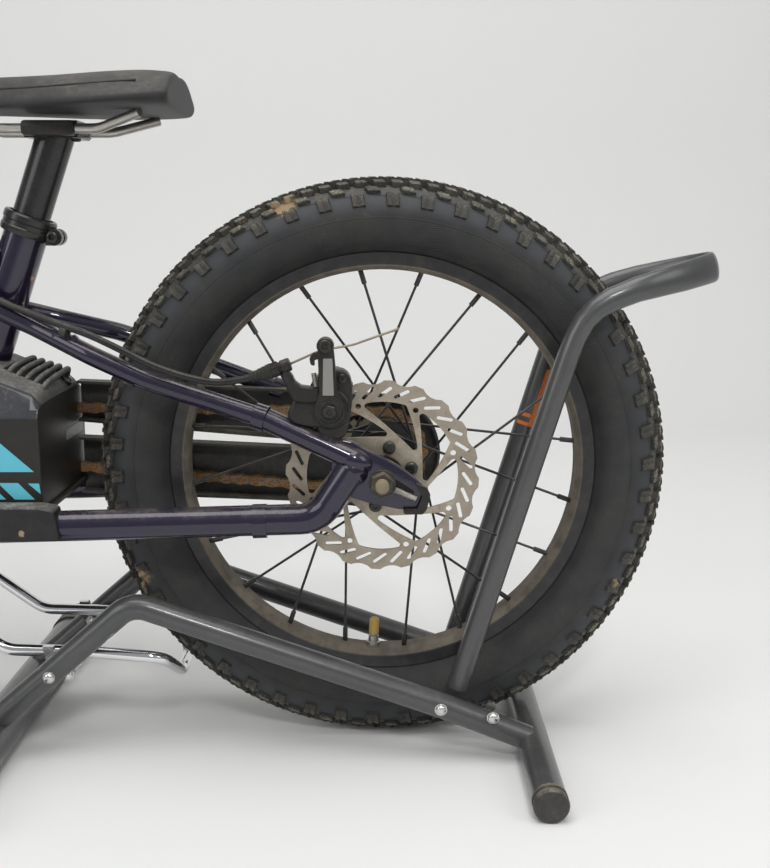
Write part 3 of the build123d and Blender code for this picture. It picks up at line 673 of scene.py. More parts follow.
hatchShape = dict(
    # angles in degrees and places out from the axle in metres
    firstField=-15, field=60, paceRadius=0.178, centreRadius=0.140, pitch=0.0013,
    inner=(0.1645, 0.1665), outer=(0.1835, 0.1825), rib=0.1842, ribWidth=(0.0007, 0.0002), ribHeight=1.6,
    lugs=50, grooveRadius=0.1975, grooveClimb=0.0042, grooveWidth=(0.00065, 0.00025), grooveDepth=1.8,
)


def makeHatchGroup():
    # fine lines moulded in the sidewall, in six fields of arcs, and the thin rib that ends them
    given = hatchShape
    group, start, end = makeGroup(
        "sidewallLines",
        [("Radius", "NodeSocketFloat", 0.18), ("Angle", "NodeSocketFloat", 0.0)],
        [("Height", "NodeSocketFloat"), ("Lines", "NodeSocketFloat"), ("Groove", "NodeSocketFloat")])
    radius, angle = start.outputs["Radius"], start.outputs["Angle"]
    turn = addMath(group, "ADD", angle, math.radians(given["firstField"]))
    field = addMath(group, "FLOORED_MODULO", turn, math.radians(given["field"]))
    along = addMath(group, "MULTIPLY", field, given["paceRadius"])
    out = addMath(group, "SUBTRACT", radius, given["centreRadius"])
    squares = addMath(group, "MULTIPLY_ADD", out, out, addMath(group, "MULTIPLY", along, along))
    away = addMath(group, "SQRT", squares)
    wave = addMath(group, "SINE", addMath(group, "MULTIPLY", away, math.tau / given["pitch"]))
    lines = addMath(group, "MULTIPLY_ADD", wave, 0.5, 0.5)
    inner = addRange(group, radius, *given["inner"])
    outer = addRange(group, radius, *given["outer"])
    hatch = addMath(group, "MULTIPLY", lines, addMath(group, "MULTIPLY", inner, outer))
    offRib = addMath(group, "ABSOLUTE", addMath(group, "SUBTRACT", radius, given["rib"]))
    rib = addRange(group, offRib, *given["ribWidth"])
    # one slanting mould line from each shoulder lug to the next
    lugTurn = math.tau / given["lugs"]
    share = addMath(group, "DIVIDE", addMath(group, "FLOORED_MODULO", angle, lugTurn), lugTurn)
    lineRadius = addMath(group, "MULTIPLY_ADD", share, given["grooveClimb"], given["grooveRadius"])
    offLine = addMath(group, "ABSOLUTE", addMath(group, "SUBTRACT", radius, lineRadius))
    groove = addRange(group, offLine, *given["grooveWidth"])
    height = addMath(group, "ADD", hatch, addMath(group, "MULTIPLY", rib, given["ribHeight"]))
    height = addMath(group, "SUBTRACT", height, addMath(group, "MULTIPLY", groove, given["grooveDepth"]))
    for label, output in (("Height", height), ("Lines", hatch), ("Groove", groove)):
        group.links.new(output, end.inputs[label])
    return group


hatchGroup = makeHatchGroup()


def wheelNode(tree, centre):
    node = addGroupNode(tree, wheelGroup)
    node.inputs["Centre"].default_value = centre
    return node


def addSpot(tree, coords, centre, size):
    # a soft blotch about a place on the object
    away = tree.nodes.new("ShaderNodeVectorMath")
    away.operation = "DISTANCE"
    tree.links.new(coords, away.inputs[0])
    away.inputs[1].default_value = centre
    rough = addMath(tree, "MULTIPLY_ADD", addNoise(tree, coords, 260.0, 4.0), size * 1.6,
                    addMath(tree, "SUBTRACT", away.outputs["Value"], size * 0.8))
    return addRange(tree, rough, size, size * 0.55)


def makeTyreLooks(label, centre, mudSpots):
    carcass, tree, shader = newMaterial(label + "Carcass", (0.03, 0.03, 0.031), 0.62)
    wheel = wheelNode(tree, centre)
    lines = addGroupNode(tree, hatchGroup)
    for label in ("Radius", "Angle"):
        tree.links.new(wheel.outputs[label], lines.inputs[label])
    cloudy = addNoise(tree, wheel.outputs["Turned"], 55.0, 5.0, 0.6)
    tone = addMix(tree, addRange(tree, cloudy, 0.3, 0.7), (0.014, 0.015, 0.017, 1), (0.026, 0.025, 0.023, 1))
    # painted highlight: a lighter blue-grey band round the tyre's shoulder, where it catches light
    shoulder = addRange(tree, wheel.outputs["Radius"], 0.184, 0.196)
    tone = addMix(tree, addMath(tree, "MULTIPLY", shoulder, 0.7), tone, (0.040, 0.043, 0.048, 1))
    tone = addMix(tree, addMath(tree, "MULTIPLY", lines.outputs["Lines"], 0.15), tone,
                  (0.060, 0.058, 0.053, 1))
    streaks = addNoise(tree, wheel.outputs["Turned"], 420.0, 3.0, 0.5)
    tread = addRange(tree, wheel.outputs["Radius"], 0.199, 0.2065)
    dusty = addMath(tree, "MULTIPLY", tread, addRange(tree, streaks, 0.35, 0.7, 0.25, 0.8))
    tone = addMix(tree, dusty, tone, (0.135, 0.125, 0.096, 1))
    # painted shade: the slanting mould groove is darkened almost to black, as well as bumped in
    tone = addMix(tree, addMath(tree, "MULTIPLY", lines.outputs["Groove"], 0.75), tone,
                  (0.008, 0.008, 0.008, 1))
    scuff = addMath(tree, "MULTIPLY", addRange(tree, streaks, 0.60, 0.75), addRange(tree, cloudy, 0.5, 0.7))
    tone = addMix(tree, addMath(tree, "MULTIPLY", scuff, 0.35), tone, (0.16, 0.145, 0.12, 1))
    tree.links.new(tone, shader.inputs["Base Color"])
    addStains(carcass, mudSpots, (0.27, 0.19, 0.105, 1))
    addBump(tree, shader, lines.outputs["Height"], 0.00015)

    looks = [carcass]
    for suffix, dark, pale, share in (("LugSides", (0.014, 0.014, 0.013), (0.135, 0.125, 0.096), 0.50),
                                      ("LugTops", (0.030, 0.029, 0.025), (0.270, 0.245, 0.185), 0.85)):
        made, tree, shader = newMaterial(label + suffix, dark, 0.75)
        wheel = wheelNode(tree, centre)
        coords = objectCoords(tree)
        fine = addNoise(tree, coords, 700.0, 4.0, 0.6)
        broad = addNoise(tree, coords, 38.0, 3.0, 0.5)
        both = addMath(tree, "MULTIPLY", addRange(tree, fine, 0.33, 0.66),
                       addRange(tree, broad, 0.30, 0.62, 0.35, 1.0))
        crown = addRange(tree, wheel.outputs["Radius"], 0.196, 0.206, 0.15, share)
        tone = addMix(tree, addMath(tree, "MULTIPLY", both, crown), (*dark, 1), (*pale, 1))
        tree.links.new(tone, shader.inputs["Base Color"])
        addStains(made, mudSpots, (0.29, 0.205, 0.115, 1))
        addBump(tree, shader, fine, 0.0005)
        looks.append(made)
    return looks


def addStains(made, stains, color):
    # stains: (middle, size)
    tree = made.node_tree
    shader = tree.nodes["Principled BSDF"]
    tone = shader.inputs["Base Color"].links[0].from_socket
    coords = objectCoords(tree)
    for spot, size in stains:
        tone = addMix(tree, addSpot(tree, coords, spot, size), tone, color)
    tree.links.new(tone, shader.inputs["Base Color"])


stainRows = [
    ("housingPlastic", [(place(-217, -60, 66), 0.003), (place(-217, -60, 61), 0.003)], (0.30, 0.23, 0.15, 1)),
    ("restPlastic", [(place(-253, -79, -33.7), 0.0026)], (0.30, 0.23, 0.15, 1)),
    ("framePaint", [(place(-258.6, -5, 140), 0.0022), (place(-266.7, -6, 123), 0.0022)],
     (0.30, 0.12, 0.04, 1)),
    ("glossBlack", [(place(-240.9, -15, 204.7), 0.0018)], (0.36, 0.24, 0.10, 1)),
]
for name, stains, color in stainRows:
    addStains(finish[name], stains, color)

rearMud = [
    (place(-71, -18, 193), 0.011), (place(-102, -20, 183), 0.006), (place(-182, -27, -85), 0.009),
    (place(176, -25, -88), 0.004),
]
frontMud = [(place(60, -20, 196, frontAxle), 0.010), (place(-150, -25, 120, frontAxle), 0.007)]
makeTyre("knobblyRearTyre", "rear_wheel", rearAxle, makeTyreLooks("rear", rearAxle, rearMud), "rear_tyre")
makeTyre("knobblyFrontTyre", "front_wheel", frontAxle, makeTyreLooks("front", frontAxle, frontMud),
         "front_tyre")
print("tyres made")


# Rims and spokes keep their CAD shape

def makeRimLook(label, centre):
    made, tree, shader = newMaterial(label, (0.014, 0.014, 0.015), 0.36)
    wheel = wheelNode(tree, centre)
    coords = objectCoords(tree)
    cloudy = addNoise(tree, wheel.outputs["Turned"], 70.0, 5.0, 0.65)
    dusty = addMath(tree, "MULTIPLY", addRange(tree, wheel.outputs["Radius"], 0.1515, 0.1495),
                    addRange(tree, cloudy, 0.25, 0.6, 0.35, 0.75))
    veil = addMath(tree, "MULTIPLY", addRange(tree, cloudy, 0.4, 0.75), 0.10)
    tone = addMix(tree, addMath(tree, "ADD", dusty, veil, clamp=True), (0.013, 0.013, 0.014, 1),
                  (0.200, 0.170, 0.130, 1))
    tree.links.new(tone, shader.inputs["Base Color"])
    tree.links.new(addRange(tree, dusty, 0.0, 0.7, 0.36, 0.85), shader.inputs["Roughness"])
    addBump(tree, shader, addNoise(tree, coords, 900.0, 3.0), 0.00004)
    return made


for name, label, centre in (("rear_rim", "dustyRim", rearAxle), ("front_rim", "dustyFrontRim", frontAxle)):
    nodes[name].data.materials[0] = makeRimLook(label, centre)


valveShape = dict(
    # (out from the foot, radius) of the stem with its nut and of the cap; the foot is inside the rim
    foot=(0, 0, -150), stemSteps=20, capSteps=16,
    stem=[(1.5, 0), (1.5, 5.2), (6.0, 5.2), (6.6, 4.0), (11.0, 4.0), (11.6, 3.0), (13.4, 3.0), (13.4, 0)],
    cap=[(13.0, 0), (13.0, 3.9), (24.3, 3.9), (25.5, 2.6), (25.5, 0)],
)


def makeValve(name, body, origin, degrees):
    given = valveShape
    bm, cap = bmesh.new(), bmesh.new()
    turned(bm, given["stem"], given["foot"], (0, 0, 1), given["stemSteps"])
    turned(cap, given["cap"], given["foot"], (0, 0, 1), given["capSteps"])
    joinPart(bm, cap, 1)
    turnAboutY(bm, bm.verts, degrees)
    finishPiece(name, bm, ["zincSteel", "capYellow"], body, origin)


makeValve("rearValve", "rear_wheel", rearAxle, 2.9)
makeValve("frontValve", "front_wheel", frontAxle, 47.0)
print("rims and valves made")


# Chain

chainShape = dict(pitch=12.7, y=45.0, links=20, run=241.5, wrapRadius=32.6, wrapTurn=22.5, frontTop=35.6,
                  frontLow=-12.4, plateRadius=4.1, waist=2.9, plate=1.1, innerAt=1.9, outerAt=3.1,
                  rollerRadius=3.8, pin=1.7, pinOut=0.4)


def addLink(bm, first, second, outer):
    given = chainShape
    run = second - first
    length, turn = run.length, math.atan2(run.z, run.x)
    before = set(bm.verts)
    offset = given["outerAt"] if outer else given["innerAt"]
    ends = [[polar(given["plateRadius"], start + 36 * step) for step in range(6)] for start in (90, -90)]
    outline = (ends[0] + [(length / 2, -given["waist"])] + [(x + length, z) for x, z in ends[1]]
               + [(length / 2, given["waist"])])
    for side in (-1, 1):
        slab(bm, outline, *sorted((side * offset, side * offset + side * given["plate"])))
    reach = given["outerAt"] + given["plate"] + given["pinOut"] if outer else given["innerAt"]
    for x in (0, length):
        rodBetween(bm, (x, -reach, 0), (x, reach, 0), given["pin" if outer else "rollerRadius"],
                   8 if outer else 10)
    made = list(set(bm.verts) - before)
    turnAboutY(bm, made, math.degrees(-turn))
    bmesh.ops.translate(bm, verts=made, vec=first + Vector((0, given["y"], 0)))


def makeChain():
    given = chainShape
    pitch, wrap = given["pitch"], given["wrapRadius"]
    top, low = ([Vector((-pitch * step, 0, start + (end - start) * step * pitch / given["run"]))
                 for step in range(given["links"])]
                for start, end in ((wrap, given["frontTop"]), (-wrap, given["frontLow"])))
    wrapped = [polar(wrap, 90 - given["wrapTurn"] * step) for step in range(1, 8)]
    joints = top[::-1] + [Vector((x, 0, z)) for x, z in wrapped] + low
    bm = bmesh.new()
    for number, (first, second) in enumerate(zip(joints, joints[1:])):
        addLink(bm, first, second, number % 2 == 0)
    finishPiece("rustyChain", bm, ["rustyChain"], "frame", rearAxle, ["chain"], sharp=50)


def makeRust():
    made, tree, shader = newMaterial("rustyChain", (0.25, 0.17, 0.09), 0.6, 0.55)
    coords = objectCoords(tree)
    patches = addNoise(tree, coords, 150.0, 5.0, 0.65)
    fine = addNoise(tree, coords, 900.0, 3.0, 0.6)
    tone = addMix(tree, addRange(tree, patches, 0.35, 0.65), (0.30, 0.24, 0.16, 1), (0.26, 0.12, 0.035, 1))
    tone = addMix(tree, addRange(tree, fine, 0.45, 0.7, 0.0, 0.8), tone, (0.10, 0.06, 0.03, 1))
    tree.links.new(tone, shader.inputs["Base Color"])
    tree.links.new(addRange(tree, patches, 0.3, 0.7, 0.85, 0.1), shader.inputs["Metallic"])
    tree.links.new(addRange(tree, fine, 0.3, 0.7, 0.4, 0.85), shader.inputs["Roughness"])
    addBump(tree, shader, fine, 0.0003)
    return made


finish["rustyChain"] = makeRust()
makeChain()
print("chain made")


# Brake disc: the CAD disc gets brushed, dusty steel and its six bolts get real heads

def makeDiscSteel():
    made, tree, shader = newMaterial("discSteel", (0.40, 0.36, 0.29), 0.42, 0.55)
    wheel = wheelNode(tree, rearAxle)
    coords = objectCoords(tree)
    rings = addNoise(tree, wheel.outputs["Radius"], 5200.0, 2.0, 0.5)
    cloudy = addNoise(tree, coords, 60.0, 5.0, 0.65)
    fine = addNoise(tree, coords, 1500.0, 3.0, 0.6)
    tone = addMix(tree, addRange(tree, cloudy, 0.34, 0.66), (0.44, 0.39, 0.31, 1), (0.31, 0.26, 0.20, 1))
    swept = addMath(tree, "MULTIPLY", addRange(tree, wheel.outputs["Radius"], 0.0545, 0.0565),
                    addRange(tree, rings, 0.35, 0.65, 0.35, 0.9))
    tone = addMix(tree, swept, tone, (0.33, 0.285, 0.235, 1))
    tone = addMix(tree, addRange(tree, fine, 0.56, 0.72, 0.0, 0.5), tone, (0.16, 0.12, 0.08, 1))
    tree.links.new(tone, shader.inputs["Base Color"])
    tree.links.new(addRange(tree, cloudy, 0.3, 0.7, 0.34, 0.62), shader.inputs["Roughness"])
    addBump(tree, shader, addMath(tree, "MULTIPLY", rings, swept), 0.00008)
    return made


finish["discSteel"] = makeDiscSteel()
nodes["brake_rotor"].data.materials[0] = finish["discSteel"]

toLeft, toRight = (0, -1, 0), (0, 1, 0)
discBolts = dict(
    circle=22.0, first=17, faceY=-46.9,
    head=[(0, 4.6), (2.75, 4.6), (3.5, 4.1), (3.9, 3.2), (3.9, 2.1), (2.75, 1.9), (2.75, 0)],
)


def makeDiscBolts():
    given = discBolts
    bm = bmesh.new()
    for number in range(6):
        x, up = polar(given["circle"], given["first"] + 60 * number)
        turned(bm, given["head"], (x, given["faceY"], up), toLeft, 24)
    finishPiece("discBolts", bm, ["boltBlack"], "rear_wheel")


makeDiscBolts()
print("brake disc finished")


# Brake caliper: casting, lever arm with its clamp, barrel adjuster, and the cut end of the wire

caliperShape = dict(
    pivot=(-36.2, 52.4), clampAt=(-38.9, 97.8),
    # slabs: outline, near and far side, corner, edge, steps of the edge
    casting=[
        ([(-44, 33), (-31, 30), (-25.5, 34), (-22.6, 44), (-21.4, 56), (-21.2, 68), (-22.4, 75), (-26, 79.5),
          (-31, 80.8), (-41, 78), (-46, 70), (-46, 42)], -51.2, -66.0, 2.5, 4.2, 5),
        ([(-44, 33), (-31, 30), (-25.5, 34), (-22.6, 44), (-21.4, 56), (-21.2, 68), (-34, 74), (-44, 66)],
         -34.2, -41.0, 2.0, 1.0, 2),
        ([(-52, 59), (-50, 70), (-42, 78), (-31, 79), (-29, 72), (-44, 61.5)], -34.5, -64.5, 1.6, 1.2, 2),
        ([(-70.2, 77.6), (-66.5, 81.5), (-62.2, 77.0), (-60.6, 72.9), (-56.4, 69.6), (-43, 68.2), (-43, 57),
          (-61.2, 58.2), (-64.8, 64)], -62.4, -71.6, 1.4, 2.4, 1),
        ([(-61.5, 57.6), (-66.3, 50.5), (-64.5, 44.5), (-55.5, 40.8), (-43, 39.5), (-43, 58.5), (-54, 59.6)],
         -52.2, -68.5, 2.4, 3.4, 4),
    ],
    # the drum that the lever turns in, stepped in rings
    drum=[(0, 0), (0, 14.2), (6.5, 14.2), (7.4, 13.2), (7.4, 12.2), (9.0, 12.0), (9.0, 0)], drumY=-60.5,
    bodyBolt=(-28.2, -65.3, 74.0),
)
armShape = dict(
    slabs=[
        ([(-44.2, 96), (-43.3, 66), (-46.0, 57), (-45, 48), (-28, 48), (-26.6, 57), (-30.6, 66), (-33.2, 96)],
         -70.0, -77.2, 2.0, 0.9, 2),
        ([(-42.5, 94.5), (-47.6, 92.8), (-49.8, 89.3), (-49.0, 84.8), (-46.2, 84.0), (-46.4, 88),
          (-42.5, 89)], -71.6, -76.6, 1.0, 0.5, 2),
    ],
    label=([(-40.3, 89.3), (-34.0, 89.3), (-33.2, 63.8), (-40.9, 63.8)], -77.55, -76.6, 0.6),
    y=-70.0,
    # (out from y, radius)
    clampDrum=[(0, 0), (0, 5.9), (7.4, 5.9), (8.2, 5.1), (8.2, 0)],
    pivotCap=[(-1.2, 0), (-1.2, 10.8), (6.6, 10.8), (7.3, 10.1), (7.3, 8.9), (6.5, 8.7), (6.5, 7.6),
              (7.9, 7.2), (7.9, 5.9), (6.9, 5.6), (6.9, 0)],
    pivotBolt=[(7.6, 0), (7.6, 4.9), (8.9, 4.9), (9.4, 4.3), (9.4, 2.6), (8.0, 2.3), (8.0, 0)],
    clampBolt=[(7.9, 0), (7.9, 4.6), (9.4, 4.5), (10.0, 3.8), (10.0, 2.2), (8.4, 2.0), (8.4, 0)],
)
padScrew = dict(start=(-47.2, -71.4, 78.6), direction=(1.3, 0, -8.7), threads=9, root=1.5, crest=2.1)


def makeCaliper():
    given = caliperShape
    pivotX, pivotUp = given["pivot"]
    bm, bolt = bmesh.new(), bmesh.new()
    for row in given["casting"]:
        addSlab(bm, row)
    turned(bm, given["drum"], (pivotX, given["drumY"], pivotUp), toLeft, 48)
    boltHead(bolt, given["bodyBolt"], toLeft, 3.2, 1.2, 1.7)
    joinPart(bm, bolt, 1)
    finishPiece("caliperCasting", bm, ["castBlack", "boltBlack"], "frame",
                replaced=["caliper_body"])


def makeCaliperArm():
    given = armShape
    bm, bolts, label = bmesh.new(), bmesh.new(), bmesh.new()
    for row in given["slabs"]:
        addSlab(bm, row)
    (pivotX, pivotUp), (clampX, clampUp) = caliperShape["pivot"], caliperShape["clampAt"]
    pivot, clamp = (pivotX, given["y"], pivotUp), (clampX, given["y"], clampUp)
    for part, profile, spot, steps in ((bm, "clampDrum", clamp, 32), (bm, "pivotCap", pivot, 48),
                                       (bolts, "pivotBolt", pivot, 6), (bolts, "clampBolt", clamp, 24)):
        turned(part, given[profile], spot, toLeft, steps)
    joinPart(bm, bolts, 1)
    slab(label, *given["label"])
    joinPart(bm, label, 2)
    finishPiece("caliperArm", bm, ["castBlack", "boltBlack", "greyLabel"], "frame",
                replaced=["caliper_arm"])


def makePadScrew():
    given = padScrew
    bm = bmesh.new()
    profile = [(0, 0), (0, 2.0)]
    for step in range(given["threads"]):
        profile += [(0.4 + step, given["root"]), (0.9 + step, given["crest"])]
    turned(bm, profile + [(9.6, 1.6), (9.6, 0)], given["start"], given["direction"], 12)
    finishPiece("padScrew", bm, ["zincSteel"], "frame")


adjusterShape = dict(
    mouth=(-91.0, -66.7, 75.0), foot=(-77.2, -68.0, 79.5), tip=(-63.5, -68.0, 84.6),
    # (share of the barrel's length, radius)
    barrel=[(0.42, 4.8), (0.46, 3.9), (0.52, 3.9), (0.56, 4.7), (0.94, 4.7), (1, 4.0), (1, 1.4), (0.8, 1.2),
            (0.8, 0)],
    ribs=16, ribFrom=0.6, ribTo=0.41, ribFoot=4.6, ribTop=5.25, ribHalf=0.42,
    # boot: its rings, radius at the mouth and growth to the foot
    rings=5, ring=[(0.02, 0), (0.07, 0.45), (0.11, 0.1)], narrow=3.1, growth=2.3, bore=2.55,
)


def makeAdjuster():
    given = adjusterShape
    mouth, foot, tip = (Vector(given[name]) for name in ("mouth", "foot", "tip"))
    bm, ridge, boot = bmesh.new(), bmesh.new(), bmesh.new()
    run = tip - foot
    length = run.length
    barrel = [(length * share, radius) for share, radius in given["barrel"]]
    turned(bm, [(-0.4, 0), (-0.4, 4.2), (0.2, 4.8)] + barrel, foot, run, 32)
    # knurling: one ridge made, then copied round the barrel's axis
    start, end = given["ribFrom"], length * given["ribTo"]
    low, high, half = given["ribFoot"], given["ribTop"], given["ribHalf"]
    slab(ridge, [(start, low), (end, low), (end, high), (start, high)], -half, half, edge=0.2, edgeSegments=1)
    bmesh.ops.rotate(ridge, verts=ridge.verts, cent=(0, 0, 0),
                     matrix=Vector((1, 0, 0)).rotation_difference(run).to_matrix())
    bmesh.ops.translate(ridge, verts=ridge.verts, vec=foot)
    copyRound(ridge, foot, run.normalized(), given["ribs"])
    joinPart(bm, ridge)
    # rubber boot, tapered with soft rings
    run = foot - mouth
    length = run.length
    profile = [(-0.6, given["bore"]), (-0.6, given["narrow"])]
    for step in range(given["rings"]):
        share = step / given["rings"]
        wide = given["narrow"] + given["growth"] * share
        profile += [(length * (share + more), wide + out) for more, out in given["ring"]]
    profile += [(length, 5.45), (length + 0.6, 5.2), (length + 0.6, given["bore"])]
    turned(boot, profile, mouth, run, 32, closed=True)
    joinPart(bm, boot, 1)
    finishPiece("barrelAdjuster", bm, ["castBlack", "oliveRubber"], "frame",
                replaced=["cable_barrel"])


frayedWire = dict(end=(11.4, -74.0, 109.5), direction=(31.4, 1.5, 11.0), strands=7, length=8.0, radius=0.22,
                  spread=1.2)


def makeFrayedWire():
    given = frayedWire
    bm = bmesh.new()
    along = Vector(given["direction"]).normalized()
    start = Vector(given["end"]) - along * given["length"]
    for strand in range(given["strands"]):
        turn = math.tau * strand / given["strands"]
        aside = Vector((0, math.cos(turn), math.sin(turn)))
        fan = given["spread"] * random.uniform(0.3, 1.0)
        length = given["length"] * random.uniform(0.55, 1.0)
        pipe(bm, [start - along * 3.0 + aside * 0.7, start + aside * 0.75,
                  start + along * length * 0.5 + aside * fan, start + along * length + aside * fan * 1.3],
                  given["radius"], 4)
    finishPiece("frayedWire", bm, ["paleStrand"], "frame")


makeCaliper()
makeCaliperArm()
makePadScrew()
makeAdjuster()
makeFrayedWire()
print("brake caliper made")


# Axle ends: chamfered nuts on washers, threaded axle ends, and the tensioner at the dropout's tail

axleEnds = dict(
    rear=dict(node="rear_axle", name="rearAxleSet", body="frame", origin=rearAxle, face=67.0, end=82.6,
              spacer=(56.6, 60.9)),
    front=dict(node="front_axle", name="frontAxleSet", body="steering", origin=frontAxle, face=56.0, end=68.6,
               spacer=(45.6, 49.9)),
)


def threadProfile(start, end, radius, pitch=1.0):
    profile = []
    along = start
    while along < end - 1.2:
        profile += [(along, radius - 0.28), (along + pitch / 2, radius)]
        along += pitch
    return profile + [(end - 1.0, radius), (end - 0.2, radius - 0.9), (end, radius - 1.3), (end, 0)]


axleShape = dict(radius=4.9, bore=5.0, spacer=8.4, nut=9.3, nutHeight=7.4, nutTurn=24, sharp=28,
                 # thin toothed washer: (out from the dropout's face, radius)
                 washer=[(0, 5.0), (0, 9.6), (1.1, 9.6), (1.4, 9.3), (1.4, 5.0)])


def makeAxleSet(given):
    shared = axleShape
    bm = bmesh.new()
    face, (near, far) = given["face"], given["spacer"]
    bore, wide, radius = shared["bore"], shared["spacer"], shared["radius"]
    for side in (-1, 1):
        out = (0, side, 0)
        axle = bmesh.new()
        thread = threadProfile(face + 0.3, given["end"], radius)
        turned(axle, [(0, 0), (0, radius), (face, radius)] + thread, (0, 0, 0), out, 24)
        joinPart(bm, axle, 1)
        turned(bm, [(near, bore), (near, wide), (far, wide), (far, bore)], (0, 0, 0), out, 32, closed=True)
        turned(bm, [(face + more, size) for more, size in shared["washer"]], (0, 0, 0), out, 36, closed=True)
        nut = hexNut(bm, (0, side * (face + 1.2), 0), out, shared["nut"], shared["nutHeight"], radius)
        turnAboutY(bm, list(nut), shared["nutTurn"])
    finishPiece(given["name"], bm, ["nutSteel", "axleTan"], given["body"], given["origin"],
                [given["node"]], shared["sharp"])


for given in axleEnds.values():
    makeAxleSet(given)

tensionerShape = dict(
    cheek=[(23.5, 0.5), (31.5, -3.2), (34.0, -8.0), (31.5, -18.5), (28.5, -22.2), (15.5, -22.0),
           (14.5, -18.8), (24.5, -18.6), (28.2, -9.2)],
    screwFrom=(8.5, -4.3), screwTo=(24.5, -11.6), screwRadius=2.3, y=-69.2,
)


def makeTensioners():
    given = tensionerShape
    bm = bmesh.new()
    slab(bm, given["cheek"], -67.2, -71.0, corner=1.0, edge=0.7)
    screw = bmesh.new()
    (x1, up1), (x2, up2) = given["screwFrom"], given["screwTo"]
    length = math.hypot(x2 - x1, up2 - up1)
    turned(screw, [(0, 0), (0, given["screwRadius"] - 0.6), (0.6, given["screwRadius"])]
           + threadProfile(1.0, length, given["screwRadius"], 0.8), (x1, given["y"], up1),
           (x2 - x1, 0, up2 - up1), 12)
    joinPart(bm, screw, 1)
    mirrorAcross(bm)
    finishPiece("axleTensioners", bm, ["castBlack", "zincSteel"], "frame",
                replaced=["axle_tensioners"])


makeTensioners()


# Dropouts with rounded edges, and the filled corner where the stay and the lower tube run together

dropoutShape = dict(
    outline=[(-36, 22), (-29, 31.5), (-20, 29.5), (-11, 23.5), (4, 16.5), (17, 8.5), (26, 1.5), (31, -5.5),
             (31.5, -13), (26, -19.5), (12, -19.5), (-9, -15), (-28, -9), (-36, 0)],
    near=-67.6, far=-60.6, slot=[(9, 3.2), (23, -6), (20.5, -11), (6.5, -1.2)],
    # centre, size and turn of the two rounded lumps of weld and tube in the corner
    corners=[((-19.0, -66.3, 16.0), (13.0, 9.2, 8.8), 23.7), ((-21.0, -65.5, 8.0), (11.4, 10.4, 11.2), 0.0)],
)


def makeDropouts():
    given = dropoutShape
    bm = bmesh.new()
    slab(bm, given["outline"], given["near"], given["far"], corner=2.0, edge=1.6, edgeSegments=3)
    for centre, size, degrees in given["corners"]:
        ball = bmesh.ops.create_uvsphere(bm, u_segments=32, v_segments=20, radius=1)["verts"]
        bmesh.ops.scale(bm, vec=size, verts=ball)
        turnAboutY(bm, ball, degrees)
        bmesh.ops.translate(bm, vec=centre, verts=ball)
    # painted shade: a near-black plate, just proud of each dropout's face, stands in for the shaded axle slot
    slot = bmesh.new()
    slab(slot, given["slot"], given["near"] - 0.15, given["far"], corner=1.5)
    joinPart(bm, slot, 1)
    mirrorAcross(bm)
    finishPiece("dropoutPlates", bm, ["framePaint", "shadeBlack"], "frame",
                replaced=["dropout_left", "dropout_right"])


makeDropouts()


# Weld bead where the seat tube and the top tube meet: small overlapping drops along a ring

weldShape = dict(centre=(-284.5, 0, 150.8), along=(-327, 0, 156), shift=19.5, radius=17.4, drops=44,
                 drop=1.55)


def makeWelds():
    given = weldShape
    bm = bmesh.new()
    along = Vector(given["along"]).normalized()
    out = along.orthogonal().normalized()
    middle = Vector(given["centre"]) + along * given["shift"]
    for number in range(given["drops"]):
        turn = Matrix.Rotation(math.tau * number / given["drops"], 3, along)
        drop = bmesh.ops.create_icosphere(bm, subdivisions=1, radius=given["drop"])["verts"]
        bmesh.ops.scale(bm, vec=(1.0, 1.0, 0.8), verts=drop)
        bmesh.ops.translate(bm, verts=drop, vec=middle + turn @ out * given["radius"])
    finishPiece("weldBeads", bm, ["framePaint"], "frame", sharp=60)


makeWelds()
print("axle ends and welds made")


# Motor and battery housing

housingShape = dict(
    stations=[
        # x, top of the side panel, top of its facet, edge of the shoulder, top in the middle
        (-243, 44.0, 50.5, 53.4, 55.0), (-249, 44.0, 50.6, 59.0, 62.0), (-290, 43.6, 51.0, 75.0, 80.0),
        (-330, 43.0, 51.5, 80.5, 86.0), (-420, 41.0, 49.0, 61.5, 66.0), (-446, 24.0, 30.0, 36.5, 38.0),
    ],
    low=-22.0, half=60.0, facet=57.5, shoulder=50.5, edge=0.9, paintedSheenAbove=44.5, paintedSheenFrom=45.0, sharp=30,
    # rim moulded round the foot of the rear face
    footRim=[(-250, -25.5), (-240.2, -24.5), (-240.2, -22.0), (-250, -21.0)],
)
stripeShape = dict(
    band=[(-291.6, 46.0), (-247.8, 6.2), (-300.0, 6.2), (-343.8, 46.0)],
    tip=[(-252.6, -2.2), (-244.6, -2.2), (-243.9, -9.9)],
    firstRight=-259.7, width=14.3, slant=11.4, up=-1.8, low=-13.9, step=20.6, count=6, above=0.12, within=0.3,
)
patchShape = dict(middle=(-242.95, 29.0, 20.4), size=(0.4, 46.0, 8.2), corner=1.0)


def acrossBike(x, right, top):
    # a section at x from its right half's points (y, up), a middle point and the same points on the left
    return [(x, y, up) for y, up in right] + [(x, 0, top)] + [(x, -y, up) for y, up in reversed(right)]


